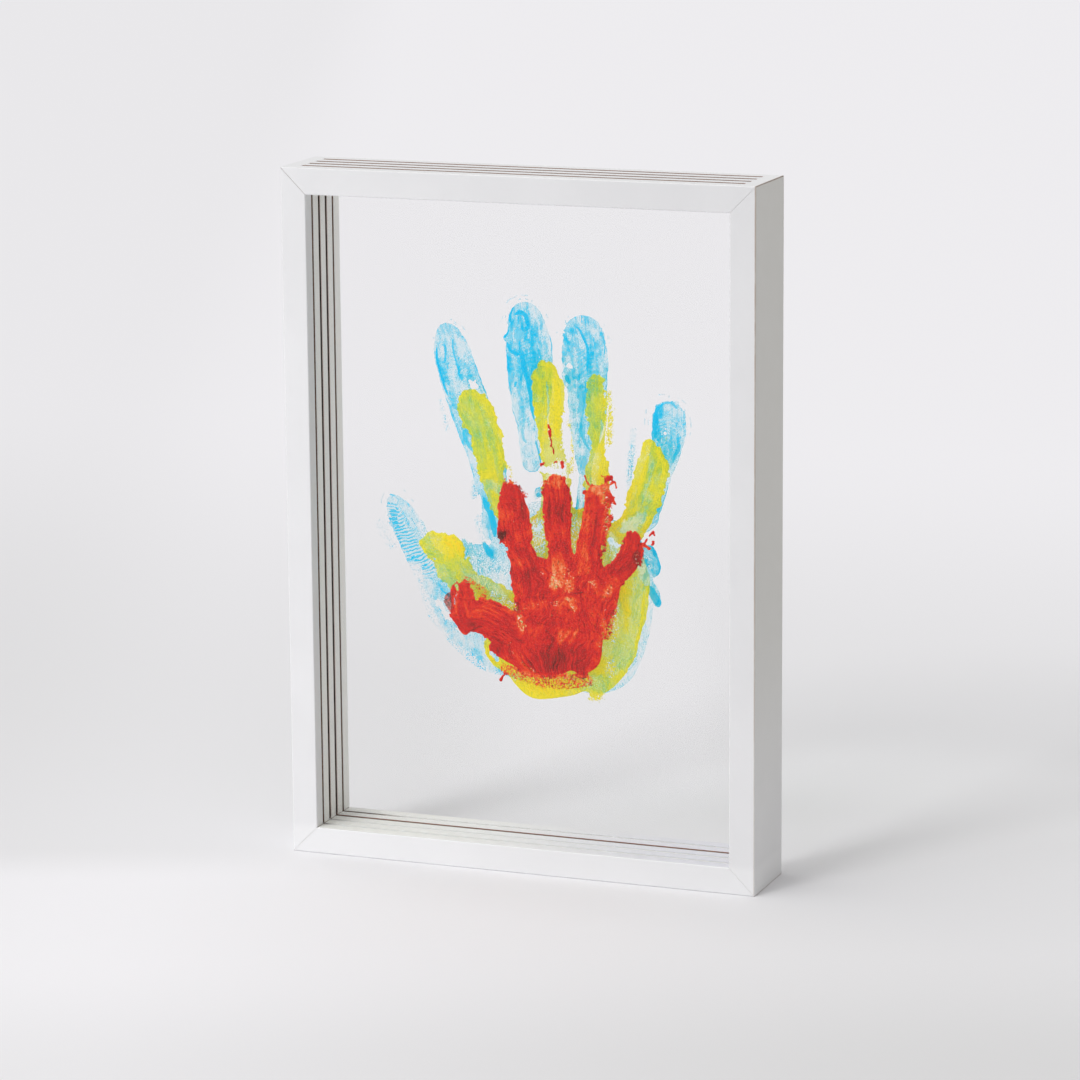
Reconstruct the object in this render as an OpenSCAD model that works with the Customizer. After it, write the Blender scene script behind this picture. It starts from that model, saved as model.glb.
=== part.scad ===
// A free-standing display frame that holds four clear sheets, one behind another.
// Each sheet drops through a slot in the top rail into grooves in the other three rails,
// and carries one painted handprint. X is across the frame, Y goes from front to back, and Z is up.
// The origin is the middle of the frame's base.

/* [Frame] */
// Overall width of the frame
frame_w = 240; // [216:1:300]
// Overall height of the frame
frame_h = 340; // [310:1:420]
// Overall depth of the frame, front to back
frame_d = 42; // [36:0.5:60]
// Width of each rail, seen from the front
rail_w = 13; // [12:0.5:20]
// Radius of the long edges of a rail
edge_r = 0.6; // [0.4:0.1:1.2]
// Thickness of the white wrap round each rail
wrap_t = 0.25; // [0.15:0.05:0.35]
// Width of core left bare on each side of a mitre
mitre_reveal = 0.12; // [0.05:0.01:0.3]

/* [Grooves] */
// Distance between the middles of neighbouring grooves
groove_pitch = 8.5; // [7:0.1:9]
// Depth of a groove, from the rail's inner face
groove_depth = 5; // [3:0.5:5.5]
// Free space on each side of a sheet in its groove
groove_play = 0.75; // [0.5:0.05:1]

/* [Sheets] */
// Thickness of a clear sheet
sheet_t = 1; // [0.8:0.1:2]
// Gap between a sheet's edge and the floor of a side groove
sheet_side_gap = 0.5; // [0.3:0.1:1.5]
// How far a sheet's top edge lies below the top of the frame
sheet_drop = 0.5; // [0:0.1:1.5]
// Radius of a sheet's corners
sheet_corner_r = 2.5; // [1:0.1:5]

/* [Corner wedges] */
// Length of each leg of a V-shaped steel wedge
wedge_leg = 4; // [3:0.1:4.5]
// Angle between a leg and the mitre
wedge_spread = 50; // [40:1:60]
// Length of the turned-in lip at the end of a leg
wedge_lip = 0.9; // [0.5:0.1:1.2]
// Thickness of the wedge's steel
wedge_steel = 0.5; // [0.3:0.05:0.7]
// Length of one wedge along the frame's depth
wedge_h = 10; // [6:0.5:14]
// Gap between the two wedges in a corner
wedge_gap = 0.2; // [0.1:0.1:1]
// How far the last wedge is sunk below the back face
wedge_sink = 0.4; // [0.1:0.1:1.5]
// Wood left between a wedge's point and the corner of the grooves
wedge_wall = 2.2; // [1.5:0.1:2.6]

/* [Handprints] */
// Thickness of a dried paint film
paint_t = 0.2; // [0.1:0.01:0.3]
// Length of the child's hand, heel to fingertip
child_hand = 100; // [85:1:110]
// Distance of the child's print to the right of the middle
child_x = 17; // [0:1:25]
// Height of the child's print above the sheet's lower edge
child_z = 88; // [40:1:120]
// Length of the mother's hand, heel to fingertip
mother_hand = 167; // [150:1:180]
// Distance of the mother's print to the right of the middle
mother_x = 10; // [0:1:15]
// Height of the mother's print above the sheet's lower edge
mother_z = 73.5; // [40:0.5:90]
// Length of the father's hand, heel to fingertip
father_hand = 192; // [175:1:200]
// Distance of the father's print to the right of the middle
father_x = 5; // [0:1:8]
// Height of the father's print above the sheet's lower edge
father_z = 74; // [40:1:85]

/* [Hidden] */
$fn = 48;

TOP = 0;
BOTTOM = 1;
LEFT = 2;
RIGHT = 3;
sheet_count = 4;
wedges_in_a_corner = 2;
past = 1; // how far a cutter runs past the face that it cuts

slot_w = sheet_t + 2 * groove_play;
slot_half_l = frame_w / 2 - rail_w + groove_depth;
sheet_w = 2 * (slot_half_l - sheet_side_gap);
sheet_foot = rail_w - groove_depth;
sheet_h = frame_h - sheet_drop - sheet_foot;
wedge_point = sqrt(2) * (rail_w - groove_depth) - wedge_wall;
wedge_pitch = wedge_h + wedge_gap;
wedges_l = wedges_in_a_corner * wedge_pitch - wedge_gap;

// Middle of a groove along the frame's depth, counted from the front
function groove_y(i) = (i - (sheet_count - 1) / 2) * groove_pitch;

// Where each side of the frame is: its outer face's middle, and its turn from the top rail's place
side_at = [[0, frame_h], [0, 0], [-frame_w / 2, frame_h / 2], [frame_w / 2, frame_h / 2]];
side_turn = [0, 180, -90, 90];
side_l = [frame_w, frame_w, frame_h, frame_h];

// Hand outlines as chains of circles, [x, z, radius] in hundredths of the hand's length.
// x is from the middle of the heel, to the right, and z is above the heel.
// A finger runs from its tip over its pad to its root, in the order thumb to little finger.
child_fingers = [
    [[-51, 37, 5.5], [-45, 31, 8.5], [-22, 22.5, 10.5]],
    [[-25, 85, 7], [-23, 72, 8.5], [-16.5, 48, 9.5]],
    [[-1, 92.5, 6.5], [-0.5, 76.5, 7], [0, 51.5, 7.5]],
    [[19.5, 87.5, 7], [16.5, 72, 7.5], [13, 50, 8]],
    [[36, 68.5, 5.5], [30, 58, 6.5], [16, 40.5, 8.5]]
];
child_palm = [[-13, 39.5, 13], [10, 40, 12.5], [9, 16.5, 13.5], [-8, 16.5, 16]];
mother_fingers = [
    [[-36.5, 43, 4.5], [-32, 39.5, 5.5], [-18, 29.5, 5]],
    [[-23.5, 85.5, 5.5], [-20, 78.5, 5], [-17.5, 63.5, 4.5], [-15, 52, 5]],
    [[-1.5, 95, 5], [-1, 87, 5], [0, 73, 4.5], [1, 58.5, 5]],
    [[13.5, 93, 4], [14, 86, 4], [14.5, 70.5, 3], [13.5, 55, 5]],
    [[30, 74.5, 4], [30, 66.5, 5], [25.5, 57.5, 5], [17, 44.5, 6.5]]
];
mother_palm = [[-11, 24, 9.5], [7.5, 44, 10], [20.5, 31.5, 8.5], [17, 14.5, 11], [-2.5, 9.5, 10]];
father_fingers = [
    [[-41, 46.5, 3.5], [-38, 41.5, 4.5], [-32.5, 32, 4.5], [-24.5, 20, 7]],
    [[-27.5, 89, 3.5], [-25.5, 84.5, 5], [-22.5, 73, 5], [-18, 55.5, 4], [-14, 44, 4.5]],
    [[-7, 95.5, 4.5], [-5, 90.5, 5.5], [-5, 76.5, 5], [-4.5, 60.5, 3.5], [-2.5, 49, 5]],
    [[9.5, 92.5, 5], [9.5, 87, 6], [10, 71.5, 4.5], [10, 57, 3.5], [11.5, 46.5, 5]],
    [[32, 74, 4], [31.5, 67, 4], [28.5, 57, 4], [23, 45, 5]]
];
father_palm = [[-14.5, 34, 8], [3.5, 38.5, 9.5], [21.5, 30.5, 8], [17, 12, 11], [-11.5, 13.5, 10.5]];

// Cross-section of a rail, its outer face on Y = 0, with all four edges rounded
module rail_profile(inset) {
    r = edge_r - inset;
    for (y = [-1, 1], z = [-inset - r, inset + r - rail_w])
        translate([y * (frame_d / 2 - inset - r), z]) circle(r);
    translate([-frame_d / 2 + inset + r, inset - rail_w])
        square([frame_d - 2 * (inset + r), rail_w - 2 * inset]);
    translate([-frame_d / 2 + inset, inset + r - rail_w])
        square([frame_d - 2 * inset, rail_w - 2 * (inset + r)]);
}

// A length of moulding along X, its outer face on Z = 0
module moulding(l) {
    rotate([90, 0, 90]) translate([0, 0, -l / 2]) linear_extrude(l) children();
}

// The space of a rail between its two mitres, each cut back by a little
module mitred(l, cut_back) {
    half = l / 2 - sqrt(2) * cut_back;
    rotate([90, 0, 0]) linear_extrude(frame_d + 2 * past, center = true)
        polygon([[-half - past, past], [half + past, past],
                 [half - rail_w - past, -rail_w - past], [rail_w + past - half, -rail_w - past]]);
}

// Everything that is cut from the inner face of a rail: four grooves, or four slots right through
module sheet_cuts(side) {
    for (i = [0 : sheet_count - 1])
        translate([0, groove_y(i), 0])
            if (side == TOP)
                translate([-slot_half_l, -slot_w / 2, -rail_w - past])
                    cube([2 * slot_half_l, slot_w, rail_w + 2 * past]);
            else
                translate([-side_l[side] / 2, -slot_w / 2, -rail_w - past])
                    cube([side_l[side], slot_w, groove_depth + past]);
}

// Moves a rail from the top rail's attitude to its own side of the frame
module on_side(side) {
    translate([side_at[side].x, 0, side_at[side].y]) rotate([0, side_turn[side], 0]) children();
}

// Outline of a bent strip of steel along the points p, as one polygon
function unit(v) = v / norm(v);
function across(v) = [-v.y, v.x];
function bend_across(p, i) =
    i == 0 ? across(unit(p[1] - p[0])) :
    i == len(p) - 1 ? across(unit(p[i] - p[i - 1])) :
    let (a = across(unit(p[i] - p[i - 1])), b = across(unit(p[i + 1] - p[i])), m = unit(a + b)) m / (m * a);
function strip(p, t) = concat(
    [for (i = [0 : len(p) - 1]) p[i] + t / 2 * bend_across(p, i)],
    [for (i = [len(p) - 1 : -1 : 0]) p[i] - t / 2 * bend_across(p, i)]);

// Half of a wedge's centre line, from its point to its lip, with the mitre along X
leg_end = wedge_leg * [-cos(wedge_spread), sin(wedge_spread)];
lip_end = leg_end + wedge_lip * [-1, 0];
wedge_line = [[lip_end.x, -lip_end.y], [leg_end.x, -leg_end.y], [0, 0], leg_end, lip_end];

// A V-shaped wedge across a mitre, its point towards the frame's opening.
// sx and sz are the signs of the corner. It runs forward from back_y by l.
module wedge_at(sx, sz, back_y, l) {
    translate([sx * frame_w / 2, back_y, sz > 0 ? frame_h : 0])
        mirror([sx > 0 ? 1 : 0, 0, 0]) mirror([0, 0, sz > 0 ? 1 : 0])
            rotate([90, -45, 0]) linear_extrude(l)
                translate([wedge_point, 0]) polygon(strip(wedge_line, wedge_steel));
}

// The pocket that a corner's wedges are driven into, open at the back
module wedge_pocket(sx, sz) {
    wedge_at(sx, sz, frame_d / 2 + past, past + wedge_sink + wedges_l);
}

module wedge_pockets() {
    for (sx = [-1, 1], sz = [-1, 1])
        wedge_pocket(sx, sz);
}

// Brown fibreboard inside a rail or stile
module core(side) {
    color("#9a6b4f") difference() {
        on_side(side) difference() {
            intersection() {
                moulding(side_l[side]) rail_profile(wrap_t);
                mitred(side_l[side], 0);
            }
            sheet_cuts(side);
        }
        wedge_pockets();
    }
}

// White wrap round a rail or stile, cut through wherever a groove or slot is
module wrap(side) {
    color("#f2f2f0") difference() {
        on_side(side) difference() {
            intersection() {
                moulding(side_l[side]) difference() {
                    rail_profile(0);
                    rail_profile(wrap_t);
                }
                mitred(side_l[side], mitre_reveal);
            }
            sheet_cuts(side);
        }
        wedge_pockets();
    }
}

// Two wedges driven one after the other into a corner
module corner_wedges(sx, sz) {
    color("#8d9094") for (i = [0 : wedges_in_a_corner - 1])
        wedge_at(sx, sz, frame_d / 2 - wedge_sink - i * wedge_pitch, wedge_h);
}

// A clear sheet with rounded corners, standing on the floor of the bottom groove
module sheet(i) {
    half = sheet_w / 2 - sheet_corner_r;
    color([0.9, 0.95, 0.97, 0.4])
        translate([0, groove_y(i) + sheet_t / 2, sheet_foot]) rotate([90, 0, 0]) linear_extrude(sheet_t) {
            for (x = [-half, half], z = [sheet_corner_r, sheet_h - sheet_corner_r])
                translate([x, z]) circle(sheet_corner_r);
            translate([-half, 0]) square([2 * half, sheet_h]);
            translate([-sheet_w / 2, sheet_corner_r]) square([sheet_w, sheet_h - 2 * sheet_corner_r]);
        }
}

// A disc of a hand outline, k times its size in hundredths
module pad(c, k) {
    translate([k * c[0], k * c[1]]) circle(k * c[2], $fn = 32);
}

// A hand of length l in dried paint on the front face of sheet i
module handprint(i, fingers, palm, l, x, z) {
    k = l / 100;
    translate([x, groove_y(i) - sheet_t / 2, sheet_foot + z]) rotate([90, 0, 0]) linear_extrude(paint_t) {
        for (finger = fingers, j = [1 : len(finger) - 1])
            hull() {
                pad(finger[j - 1], k);
                pad(finger[j], k);
            }
        hull() for (c = palm)
            pad(c, k);
    }
}

module child_handprint() {
    color("#d42c2b") handprint(1, child_fingers, child_palm, child_hand, child_x, child_z);
}

module mother_handprint() {
    color("#d5dc38") handprint(2, mother_fingers, mother_palm, mother_hand, mother_x, mother_z);
}

module father_handprint() {
    color("#38c3f4") handprint(3, father_fingers, father_palm, father_hand, father_x, father_z);
}

core(TOP);  // top_rail_core
core(BOTTOM);  // bottom_rail_core
core(LEFT);  // left_stile_core
core(RIGHT);  // right_stile_core
wrap(TOP);  // top_rail_wrap
wrap(BOTTOM);  // bottom_rail_wrap
wrap(LEFT);  // left_stile_wrap
wrap(RIGHT);  // right_stile_wrap
corner_wedges(-1, 1);  // top_left_wedges
corner_wedges(1, 1);  // top_right_wedges
corner_wedges(-1, -1);  // bottom_left_wedges
corner_wedges(1, -1);  // bottom_right_wedges
sheet(0);  // front_sheet
sheet(1);  // second_sheet
sheet(2);  // third_sheet
sheet(3);  // back_sheet
child_handprint();
mother_handprint();
father_handprint();
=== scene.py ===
"""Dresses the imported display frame: a white foil-wrapped moulding that holds four clear sheets,
with a handprint in paint on each of the last three. Every length is in metres unless its name
or comment says millimetres, or hundredths of a hand's length."""

import logging
import math
from dataclasses import dataclass, field
from enum import Enum
from typing import NamedTuple

import bpy
import numpy as np
from mathutils import Matrix, Vector


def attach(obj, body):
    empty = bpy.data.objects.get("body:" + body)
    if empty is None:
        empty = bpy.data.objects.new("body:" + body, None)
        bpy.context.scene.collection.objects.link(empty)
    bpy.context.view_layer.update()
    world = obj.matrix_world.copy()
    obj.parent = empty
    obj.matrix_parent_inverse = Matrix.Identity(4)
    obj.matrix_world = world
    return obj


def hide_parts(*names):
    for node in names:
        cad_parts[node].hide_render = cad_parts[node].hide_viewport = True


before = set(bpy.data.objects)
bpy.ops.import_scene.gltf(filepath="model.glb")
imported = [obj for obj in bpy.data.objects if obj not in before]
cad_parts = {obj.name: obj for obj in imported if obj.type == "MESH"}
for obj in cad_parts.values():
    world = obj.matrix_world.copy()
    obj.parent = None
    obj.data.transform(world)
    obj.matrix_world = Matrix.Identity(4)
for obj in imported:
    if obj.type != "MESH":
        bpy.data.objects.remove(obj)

LOG = logging.getLogger("dressing")
MM = 0.001
WHITE = "#FFFFFF"
# Lengths that stand for nearly nothing, for further than any hand reaches, and for no finger.
TINY = 1e-9
FAR = 1e9
IN_PALM = 99.0


def linear(colour: str) -> tuple[float, float, float, float]:
    """Turns an sRGB hex colour into Blender's linear colour.

    Args:
        colour: six hex digits after a hash.

    Returns:
        Red, green, blue and an alpha of 1.
    """
    parts = [int(colour[i : i + 2], 16) / 255 for i in (1, 3, 5)]
    bent = [c / 12.92 if c <= 0.04045 else ((c + 0.055) / 1.055) ** 2.4 for c in parts]
    return (*bent, 1.0)


class Value:
    """A shader node's output. Python's own arithmetic on it adds the nodes that do the sum."""

    def __init__(self, tree: bpy.types.NodeTree, socket: bpy.types.NodeSocket) -> None:
        """Keeps the output and its tree."""
        self.tree, self.socket = tree, socket

    def step(self, kind: str, *others) -> "Value":
        """Adds one step of arithmetic.

        Args:
            kind: the operation.
            others: the values or numbers that come after this one.

        Returns:
            The result.
        """
        return add_node(self.tree, "ShaderNodeMath", dict(enumerate((self, *others))), operation=kind)

    def __add__(self, other) -> "Value":
        """The sum."""
        return self.step("ADD", other)

    def __radd__(self, other) -> "Value":
        """The sum, with a number first."""
        return self + other

    def __sub__(self, other) -> "Value":
        """The difference."""
        return self.step("SUBTRACT", other)

    def __rsub__(self, other) -> "Value":
        """The difference, with this value taken from a number."""
        return add_node(self.tree, "ShaderNodeMath", {0: other, 1: self}, operation="SUBTRACT")

    def __mul__(self, other) -> "Value":
        """The product."""
        return self.step("MULTIPLY", other)

    def __lt__(self, other) -> "Value":
        """1 where this value is the smaller one."""
        return self.step("LESS_THAN", other)

    def __gt__(self, other) -> "Value":
        """1 where this value is the larger one."""
        return self.step("GREATER_THAN", other)

    def __abs__(self) -> "Value":
        """The size, without its sign."""
        return self.step("ABSOLUTE")

    def clamped(self) -> "Value":
        """The same step of arithmetic, with its result kept within 0 and 1."""
        self.socket.node.use_clamp = True
        return self

    def blend(self, first, second) -> "Value":
        """Mixes two colours or two shaders by this share.

        Args:
            first: what shows where the share is 0.
            second: what shows where it is 1.

        Returns:
            The mixed colour or shader.
        """
        if isinstance(first, Value) and first.socket.type == "SHADER":
            return add_node(self.tree, "ShaderNodeMixShader", {0: self, 1: first, 2: second})
        feeds = {0: self, 6: first, 7: second}
        return add_node(self.tree, "ShaderNodeMix", feeds, 2, data_type="RGBA")

    def spread(self, low: float, high: float, out_low: float = 0.0, out_high: float = 1.0) -> "Value":
        """Maps a range of this value smoothly onto another.

        Args:
            low: the value that becomes out_low.
            high: the value that becomes out_high.
            out_low: the first result.
            out_high: the last result.

        Returns:
            The mapped value.
        """
        feeds = {"Value": self, "From Min": low, "From Max": high, "To Min": out_low, "To Max": out_high}
        return add_node(self.tree, "ShaderNodeMapRange", feeds, interpolation_type="SMOOTHSTEP")

    def ramp(self, stops: tuple[tuple[float, str], ...]) -> "Value":
        """Turns this value into a colour.

        Args:
            stops: places from 0 to 1, each with its hex colour.

        Returns:
            The colour.
        """
        made = add_node(self.tree, "ShaderNodeValToRGB", {0: self})
        elements = made.socket.node.color_ramp.elements
        while len(elements) < len(stops):
            elements.new(1.0)
        for element, (place, colour) in zip(elements, stops):
            element.position, element.color = place, linear(colour)
        return made

    def noise(self, grain: float, detail: float = 2.0, stretch=(1, 1, 1), rough: float = 0.55) -> "Value":
        """Noise over these coordinates, with features about as wide as a real size.

        Args:
            grain: the features' width in millimetres.
            detail: how many finer layers it has.
            stretch: how much longer features are along each axis.
            rough: how strong the finer layers are.

        Returns:
            The noise, about 0.5 on average.
        """
        scale = tuple(1.0 / s for s in stretch)
        moved = add_node(self.tree, "ShaderNodeMapping", {"Vector": self, "Scale": scale})
        feeds = {"Vector": moved, "Scale": 1 / (grain * MM), "Detail": detail, "Roughness": rough}
        return add_node(self.tree, "ShaderNodeTexNoise", feeds)


def add_node(
    tree: bpy.types.NodeTree, kind: str, feeds: dict | None = None, output: int | str = 0, **settings
) -> Value | None:
    """Adds one shader node.

    Args:
        tree: the material's or the world's node tree.
        kind: the node's type name.
        feeds: for each input, by name or number, a value, a number or a hex colour.
        output: which of its outputs is wanted.
        settings: the node's own properties.

    Returns:
        That output, or None for a node without outputs.
    """
    node = tree.nodes.new(kind)
    for name, value in settings.items():
        setattr(node, name, value)
    for key, value in (feeds or {}).items():
        if isinstance(value, Value):
            tree.links.new(value.socket, node.inputs[key])
        else:
            node.inputs[key].default_value = linear(value) if isinstance(value, str) else value
    return Value(tree, node.outputs[output]) if len(node.outputs) else None


class Place(NamedTuple):
    """The Object coordinates and their three parts."""

    whole: Value
    x: Value
    y: Value
    z: Value


def new_material(name: str) -> tuple[bpy.types.Material, bpy.types.NodeTree, Place]:
    """Makes a material with an almost empty node tree.

    Args:
        name: the real material's name.

    Returns:
        The material, its tree and its Object coordinates.
    """
    material = bpy.data.materials.new(name)
    material.use_nodes = True
    tree = material.node_tree
    tree.nodes.clear()
    whole = add_node(tree, "ShaderNodeTexCoord", output="Object")
    parts = (add_node(tree, "ShaderNodeSeparateXYZ", {0: whole}, part) for part in "XYZ")
    return material, tree, Place(whole, *parts)


def ray_is(tree: bpy.types.NodeTree, *kinds: str) -> Value:
    """Whether the light ray is of one of the kinds: Camera, Shadow, Diffuse, Glossy, Transmission."""
    first, *others = (add_node(tree, "ShaderNodeLightPath", output=f"Is {kind} Ray") for kind in kinds)
    for other in others:
        first = first.step("MAXIMUM", other)
    return first


def end_material(material: bpy.types.Material, shader: Value) -> bpy.types.Material:
    """Links the last shader to the material's output, and gives the material back."""
    add_node(shader.tree, "ShaderNodeOutputMaterial", {"Surface": shader})
    return material


# ---- Sizes that repeat the CAD model's own --------------------------------------------------


@dataclass(frozen=True)
class FrameSizes:
    """The moulding's sizes in millimetres, as the CAD model has them."""

    half_width: float = 120.0
    height: float = 340.0
    half_depth: float = 21.0
    rail: float = 13.0
    groove_depth: float = 5.0
    groove_half: float = 1.25
    grooves: tuple[float, ...] = (-12.75, -4.25, 4.25, 12.75)
    sheet_half_width: float = 111.5
    sheet_low: float = 8.0
    sheet_high: float = 339.5

    @property
    def half_opening(self) -> float:
        """Half the width between the stiles."""
        return self.half_width - self.rail

    @property
    def pitch(self) -> float:
        """How far apart the grooves are."""
        return self.grooves[1] - self.grooves[0]


SIZES = FrameSizes()


# ---- Finishes -------------------------------------------------------------------------------


@dataclass(frozen=True)
class WhiteFoil:
    """Satin white paper foil, glued round the moulding by a wrapping line."""

    colour: str = "#EAEAEC"
    cloud: str = "#E6E6E8"
    foot: str = "#FAFAFB"
    bruise: str = "#B9A79B"
    lip: str = "#B98E7E"
    # Painted shade for the side away from the window.
    shaded: str = "#D6D5D0"
    # Painted light on the faces that look into the frame.
    inner: str = "#F8F8F4"
    # Painted shade on the bottom rail, growing toward the right.
    painted_shade_right: str = "#E2E2EA"
    # Painted shade on the inner faces' first strip, in front of the sheets.
    front_strip_shade: str = "#E9E9E9"
    roughness: float = 0.44

    def material(self) -> bpy.types.Material:
        """Builds the finish, which reads Object coordinates."""
        material, tree, at = new_material("white_paper_foil")
        place, x, y, z = at
        # The board under the foil shows as slow clouding, about 60 mm wide and hardly darker.
        colour = place.noise(60, 3).spread(0.35, 0.7).blend(self.colour, self.cloud)
        # The bottom rail's edge is a little paler, where the floor throws light on it.
        colour = z.spread(11 * MM, 16 * MM, 0.33, 0.0).blend(colour, self.foot)
        # The side away from the window is painted darker and warmer, as shade, least near the floor, where the
        # floor's light reaches it.
        side = (x > (SIZES.half_width - 0.6) * MM) * z.spread(0.0, 160 * MM, 0.2, 1.0)
        colour = side.blend(colour, self.shaded)
        # Inside the frame the foil is painted paler, as light, and the bottom rail is painted darker toward the
        # right, as shade.
        painted_shade_right = (z < (SIZES.rail + 1) * MM) * x.spread(-80 * MM, 100 * MM)
        within = painted_shade_right.blend(self.inner, self.painted_shade_right)
        # The inner faces' first strip, in front of the sheets, is painted a little darker, as shade.
        strip = y < (SIZES.grooves[0] - SIZES.groove_half - 0.1) * MM
        strip = strip * z.spread(SIZES.rail * MM, (SIZES.rail + 0.5) * MM)
        within = strip.blend(within, self.front_strip_shade)
        colour = self.inner_face(at).blend(colour, within)
        colour = self.edge_rub(at).blend(colour, self.bruise)
        colour = self.slot_lips(at).blend(colour, self.lip)
        # Pressed foil keeps the board's fine unevenness: grains of 0.7 mm, a few hundredths deep.
        slow = place.noise(9, 2)
        feeds = {"Height": slow * 0.8 + place.noise(0.7, 3), "Distance": 0.02 * MM, "Strength": 0.6}
        bump = add_node(tree, "ShaderNodeBump", feeds)
        rough = slow.spread(0.3, 0.7, self.roughness - 0.02, self.roughness + 0.03)
        feeds = {"Base Color": colour, "Roughness": rough, "Normal": bump, "IOR": 1.5}
        return end_material(material, add_node(tree, "ShaderNodeBsdfPrincipled", feeds))

    @staticmethod
    def inner_face(at: Place) -> Value:
        """The faces that look into the frame, where the foil carries painted light and shade.

        Args:
            at: the Object coordinates.

        Returns:
            1 on those faces and 0 elsewhere.
        """
        middle = SIZES.height / 2
        across = abs(at.x) < (SIZES.half_opening + 0.3) * MM
        up = abs(at.z - middle * MM) < (middle - SIZES.rail + 0.3) * MM
        return across * up * (abs(at.y) < (SIZES.half_depth - 0.6) * MM)

    @staticmethod
    def slot_lips(at: Place) -> Value:
        """The grooves' sawn edges, where the foil shows its paper's brown: in the top rail's four
        slots, in the stiles' middle grooves, and in the bottom rail's third.

        Args:
            at: the Object coordinates.

        Returns:
            The share of brown.
        """
        _, x, y, z = at
        half_pitch = SIZES.pitch / 2 * MM
        wall = abs((y + half_pitch).step("PINGPONG", half_pitch) - SIZES.groove_half * MM)
        at_wall = wall < 0.12 * MM
        within = abs(x) < (SIZES.half_opening + SIZES.groove_depth + 1) * MM
        last_groove = (SIZES.grooves[-1] + SIZES.groove_half + 1) * MM
        top = at_wall * (z > (SIZES.height - 0.6) * MM) * within * (abs(y) < last_groove)
        # The saw fluffed the middle grooves' edges in the stiles, 0.3 mm wide.
        middle = (abs(y) < SIZES.pitch * MM) * (abs(x) < (SIZES.half_opening + 0.2) * MM)
        stile = (z > (SIZES.rail + 1) * MM) * (z < (SIZES.height - SIZES.rail - 1) * MM)
        fluffed = (wall < 0.3 * MM) * middle * stile
        # The bottom rail's third groove was cut last, and shows from 6.9 to 13.1 mm up.
        third = (abs(y - SIZES.grooves[2] * MM) < 1.4 * MM) * at_wall
        bottom = third * z.step("COMPARE", 10 * MM, 3.1 * MM) * within
        return fluffed * 0.75 + (top + bottom)

    @staticmethod
    def edge_rub(at: Place) -> Value:
        """Where handling has rubbed the outer side face's edges, which show the board's brown.

        Args:
            at: the Object coordinates.

        Returns:
            The share of brown.
        """
        place, x, y, z = at
        outer = x > (SIZES.half_width - 0.75) * MM
        top = SIZES.height * MM - z
        front = y + (SIZES.half_depth + 0.3) * MM
        line = top.step("MINIMUM", z).step("MINIMUM", front).spread(0.35 * MM, 0.7 * MM, 1.0, 0.0)
        broken = place.noise(12, 3).spread(0.3, 0.6, 0.4, 0.8)
        return line * z.spread(20 * MM, 200 * MM, 0.4, 1.0) * broken * outer


@dataclass(frozen=True)
class Fibreboard:
    """Raw medium-density fibreboard, sawn, with white primer in some grooves, kept near white as painted light,
    and with its middle grooves painted dark as shade.
    """

    colour: str = "#7A5B48"
    pale: str = "#A08470"
    deep: str = "#4A3529"
    # Painted shade deep in the middle grooves.
    groove_shade: str = "#2E241E"
    # Near white; in the primed grooves it is also painted light.
    primer: str = "#FBFBFA"
    # For each primed groove of the bottom rail: its number, and where the primer starts and is full. Short of
    # the start, near the left stile, the bare board is left dark as painted shade.
    primed_grooves: tuple[tuple[int, float, float], ...] = ((0, -111, -104), (1, -114, -110), (3, -92, -72))

    def material(self) -> bpy.types.Material:
        """Builds the finish, which reads Object coordinates."""
        material, tree, at = new_material("raw_fibreboard")
        place, _, y, z = at
        # Pressed fibres are 1 to 2 mm long and lie flat, so sawn board shows short flecks.
        fibres = place.noise(0.35, 3, (4, 1, 4)).spread(0.3, 0.75)
        colour = fibres.blend(self.colour, self.pale)
        dust = place.noise(3, 3).spread(0.45, 0.8)
        colour = (dust * 0.6).blend(colour, self.deep)
        # The middle grooves are painted dark, as the deep shade inside them.
        middle = (abs(y) < SIZES.pitch * MM) * (z > (SIZES.rail + 1) * MM)
        colour = (middle * 0.95).blend(colour, self.groove_shade)
        primer = self.primed(at)
        colour = primer.blend(colour, self.primer)
        colour = self.filled(at).blend(colour, self.primer)
        feeds = {"Height": fibres, "Distance": 0.08 * MM, "Strength": primer * -0.65 + 0.7}
        bump = add_node(tree, "ShaderNodeBump", feeds)
        feeds = {"Base Color": colour, "Roughness": 0.9, "Normal": bump, "IOR": 1.45}
        return end_material(material, add_node(tree, "ShaderNodeBsdfPrincipled", feeds))

    @staticmethod
    def filled(at: Place) -> Value:
        """Where white filler closes the mitres on the front face: least at the top left.

        Args:
            at: the Object coordinates.

        Returns:
            The share of filler.
        """
        corner = (at.x < -100 * MM) * (at.z > 300 * MM)
        return (corner * -0.57 + 0.92) * (at.y < (1 - SIZES.half_depth) * MM)

    def primed(self, at: Place) -> Value:
        """Where near-white primer covers the board in three of the bottom rail's grooves, as painted light over
        their shade; toward the left stile the dark board is left as painted shade.

        Args:
            at: the Object coordinates.

        Returns:
            The share of primer.
        """
        grooves = (
            (abs(at.y - SIZES.grooves[groove] * MM) < 1.4 * MM) * at.x.spread(start * MM, full * MM)
            for groove, start, full in self.primed_grooves
        )
        return (sum(grooves) * (at.z < (SIZES.rail + 0.1) * MM)).clamped()


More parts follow.
